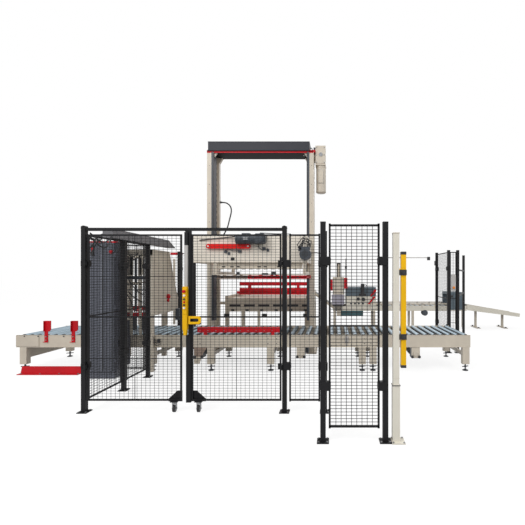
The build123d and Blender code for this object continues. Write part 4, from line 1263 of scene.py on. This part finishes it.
class PLANT_OT_turner_details(bpy.types.Operator):
    """Adds the guide rods, front guard, cheeks, turning shell and claws of the bag turner"""

    bl_idname = "plant.turner_details"
    bl_label = "Bag turner details"

    def execute(self, context):
        x, y, face = 40, 3830, 3440
        rods = Shape().rods("Z", product((x - 40, x + 40), (y - 60, y + 60)), 1560, 2030, 12, 16)
        rods.boxes((x - 62, x + 62, y - 76, y + 76, 2016, 2044), (226, 290, face + 4, face + 40, 1860, 1946))
        rods.rod("Z", 258, face + 20, 1530, 2176, 14, 16).done("turner_guide_rods", "black_plastic", 1)
        # Fixed guard on the front legs, cream above and bare anodised below.
        guard = Shape().box(-149, 200, face, face + 20, 1068, 1606)
        guard.box(-149, 200, face + 20, y - 140, 1560, 1606).done("turner_guard", "cream_paint", 8)
        Shape().row((-128, 172), 12, face - 3, face, 1090, 1560).done("turner_guard_lines", "teal_paint")
        outline = [(-120, 740), (172, 740), (200, 790), (200, 1066), (-178, 1066), (-178, 790)]
        Shape().plate("Y", outline, face, face + 20).done("turner_hood", "lilac_plate", 8)
        cheeks = Shape()
        for a, b, z in ((-248, -151, 1190), (202, 306, 1250)):
            cheeks.box(a, b, face, face + 90, z, z + 290).rod("X", face + 45, z + 290, a, b, 44)
        cheeks.done("turner_cheeks", "red_paint", 6)
        fingers = Shape().box(-140, 160, face - 10, face, 730, 764)
        for k in range(7):
            fingers.box(-124 + k * 42, -110 + k * 42, face - 14, face - 2, 560 + 24 * (k % 2), 760)
        fingers.done("turner_fingers", "black_plastic", 2)
        shell = Shape().box(x - 150, x + 150, y - 128, y + 128, 1100, 1450)
        shell.done("turner_shell", "lilac_plate", 8, "turner")
        claws = Shape()
        for side, k in product((-1, 1), range(5)):
            claws.box(x + side * 182, x + side * 160, y - 96 + k * 42, y - 74 + k * 42, 742, 900)
        claws.done("turner_claws", "black_plastic", 2, "turner")
        return {"FINISHED"}


class PLANT_OT_row_table_details(bpy.types.Operator):
    """Adds the apron slots and brackets of the row table, and the bar ends of its pusher"""

    bl_idname = "plant.row_table_details"
    bl_label = "Row table details"

    def execute(self, context):
        y = 520
        slots = Shape()
        for x in range(-2500, -760, 330):
            slots.boxes((x, x + 250, y - 3, y, 950, 1000), (x + 40, x + 110, y - 10, y, 850, 890))
        for x in (-2560, -1700, -760):
            slots.box(x - 60, x + 60, y - 20, y, 720, 790)
        slots.done("apron_slots", "black_plastic", 2)
        ends = Shape().row((-2304, -1064), 68, 1490, 1500, 1166, 1494)
        for z0, z1 in ((1166, 1214), (1246, 1344), (1396, 1494)):
            ends.row((-2522, -782), 10, 1494, 1546, z0, z1)
        ends.done("pusher_bar_ends", "red_paint", 2, "pusher")
        return {"FINISHED"}


PIECES = [
    PLANT_OT_stage,
    PLANT_OT_lift_hose,
    PLANT_OT_frame_finish,
    PLANT_OT_fence_mesh,
    PLANT_OT_gate_mesh,
    PLANT_OT_fence_fittings,
    PLANT_OT_gate_lock,
    PLANT_OT_casters,
    PLANT_OT_conveyor_details,
    PLANT_OT_conveyor_feet,
    PLANT_OT_rollers,
    PLANT_OT_conveyor_motors,
    PLANT_OT_stop_details,
    PLANT_OT_magazine_details,
    PLANT_OT_portal_details,
    PLANT_OT_lift_motor_details,
    PLANT_OT_head_details,
    PLANT_OT_head_motors,
    PLANT_OT_layer_doors,
    PLANT_OT_cabinet_details,
    PLANT_OT_cable_run,
    PLANT_OT_light_curtain,
    PLANT_OT_bag_line_details,
    PLANT_OT_press_details,
    PLANT_OT_turner_details,
    PLANT_OT_row_table_details,
]


class PLANT_PT_sidebar(bpy.types.Panel):
    """Lists the sizes, the colours and every piece of the plant"""

    bl_idname = "PLANT_PT_sidebar"
    bl_label = "Palletizer"
    bl_space_type = "VIEW_3D"
    bl_region_type = "UI"
    bl_category = "Palletizer"

    def draw(self, context):
        column = self.layout.column()
        for group in (context.scene.plant_sizes, context.scene.plant_colours):
            for name in group.__annotations__:
                column.prop(group, name)
        for piece in PIECES:
            column.operator(piece.bl_idname)


CLASSES = [PlantColours, PlantSizes, *PIECES, PLANT_PT_sidebar]


def register():
    """Registers the classes and hangs the two property groups on the scene."""
    for kind in CLASSES:
        bpy.utils.register_class(kind)
    bpy.types.Scene.plant_colours = PointerProperty(type=PlantColours)
    bpy.types.Scene.plant_sizes = PointerProperty(type=PlantSizes)


def unregister():
    """Takes the property groups and the classes off again."""
    del bpy.types.Scene.plant_sizes
    del bpy.types.Scene.plant_colours
    for kind in reversed(CLASSES):
        bpy.utils.unregister_class(kind)


def main():
    """Makes the whole plant in order."""
    register()
    make_materials()
    for piece in PIECES:
        group, name = piece.bl_idname.split(".")
        getattr(getattr(bpy.ops, group), name)()


if __name__ == "__main__":
    main()
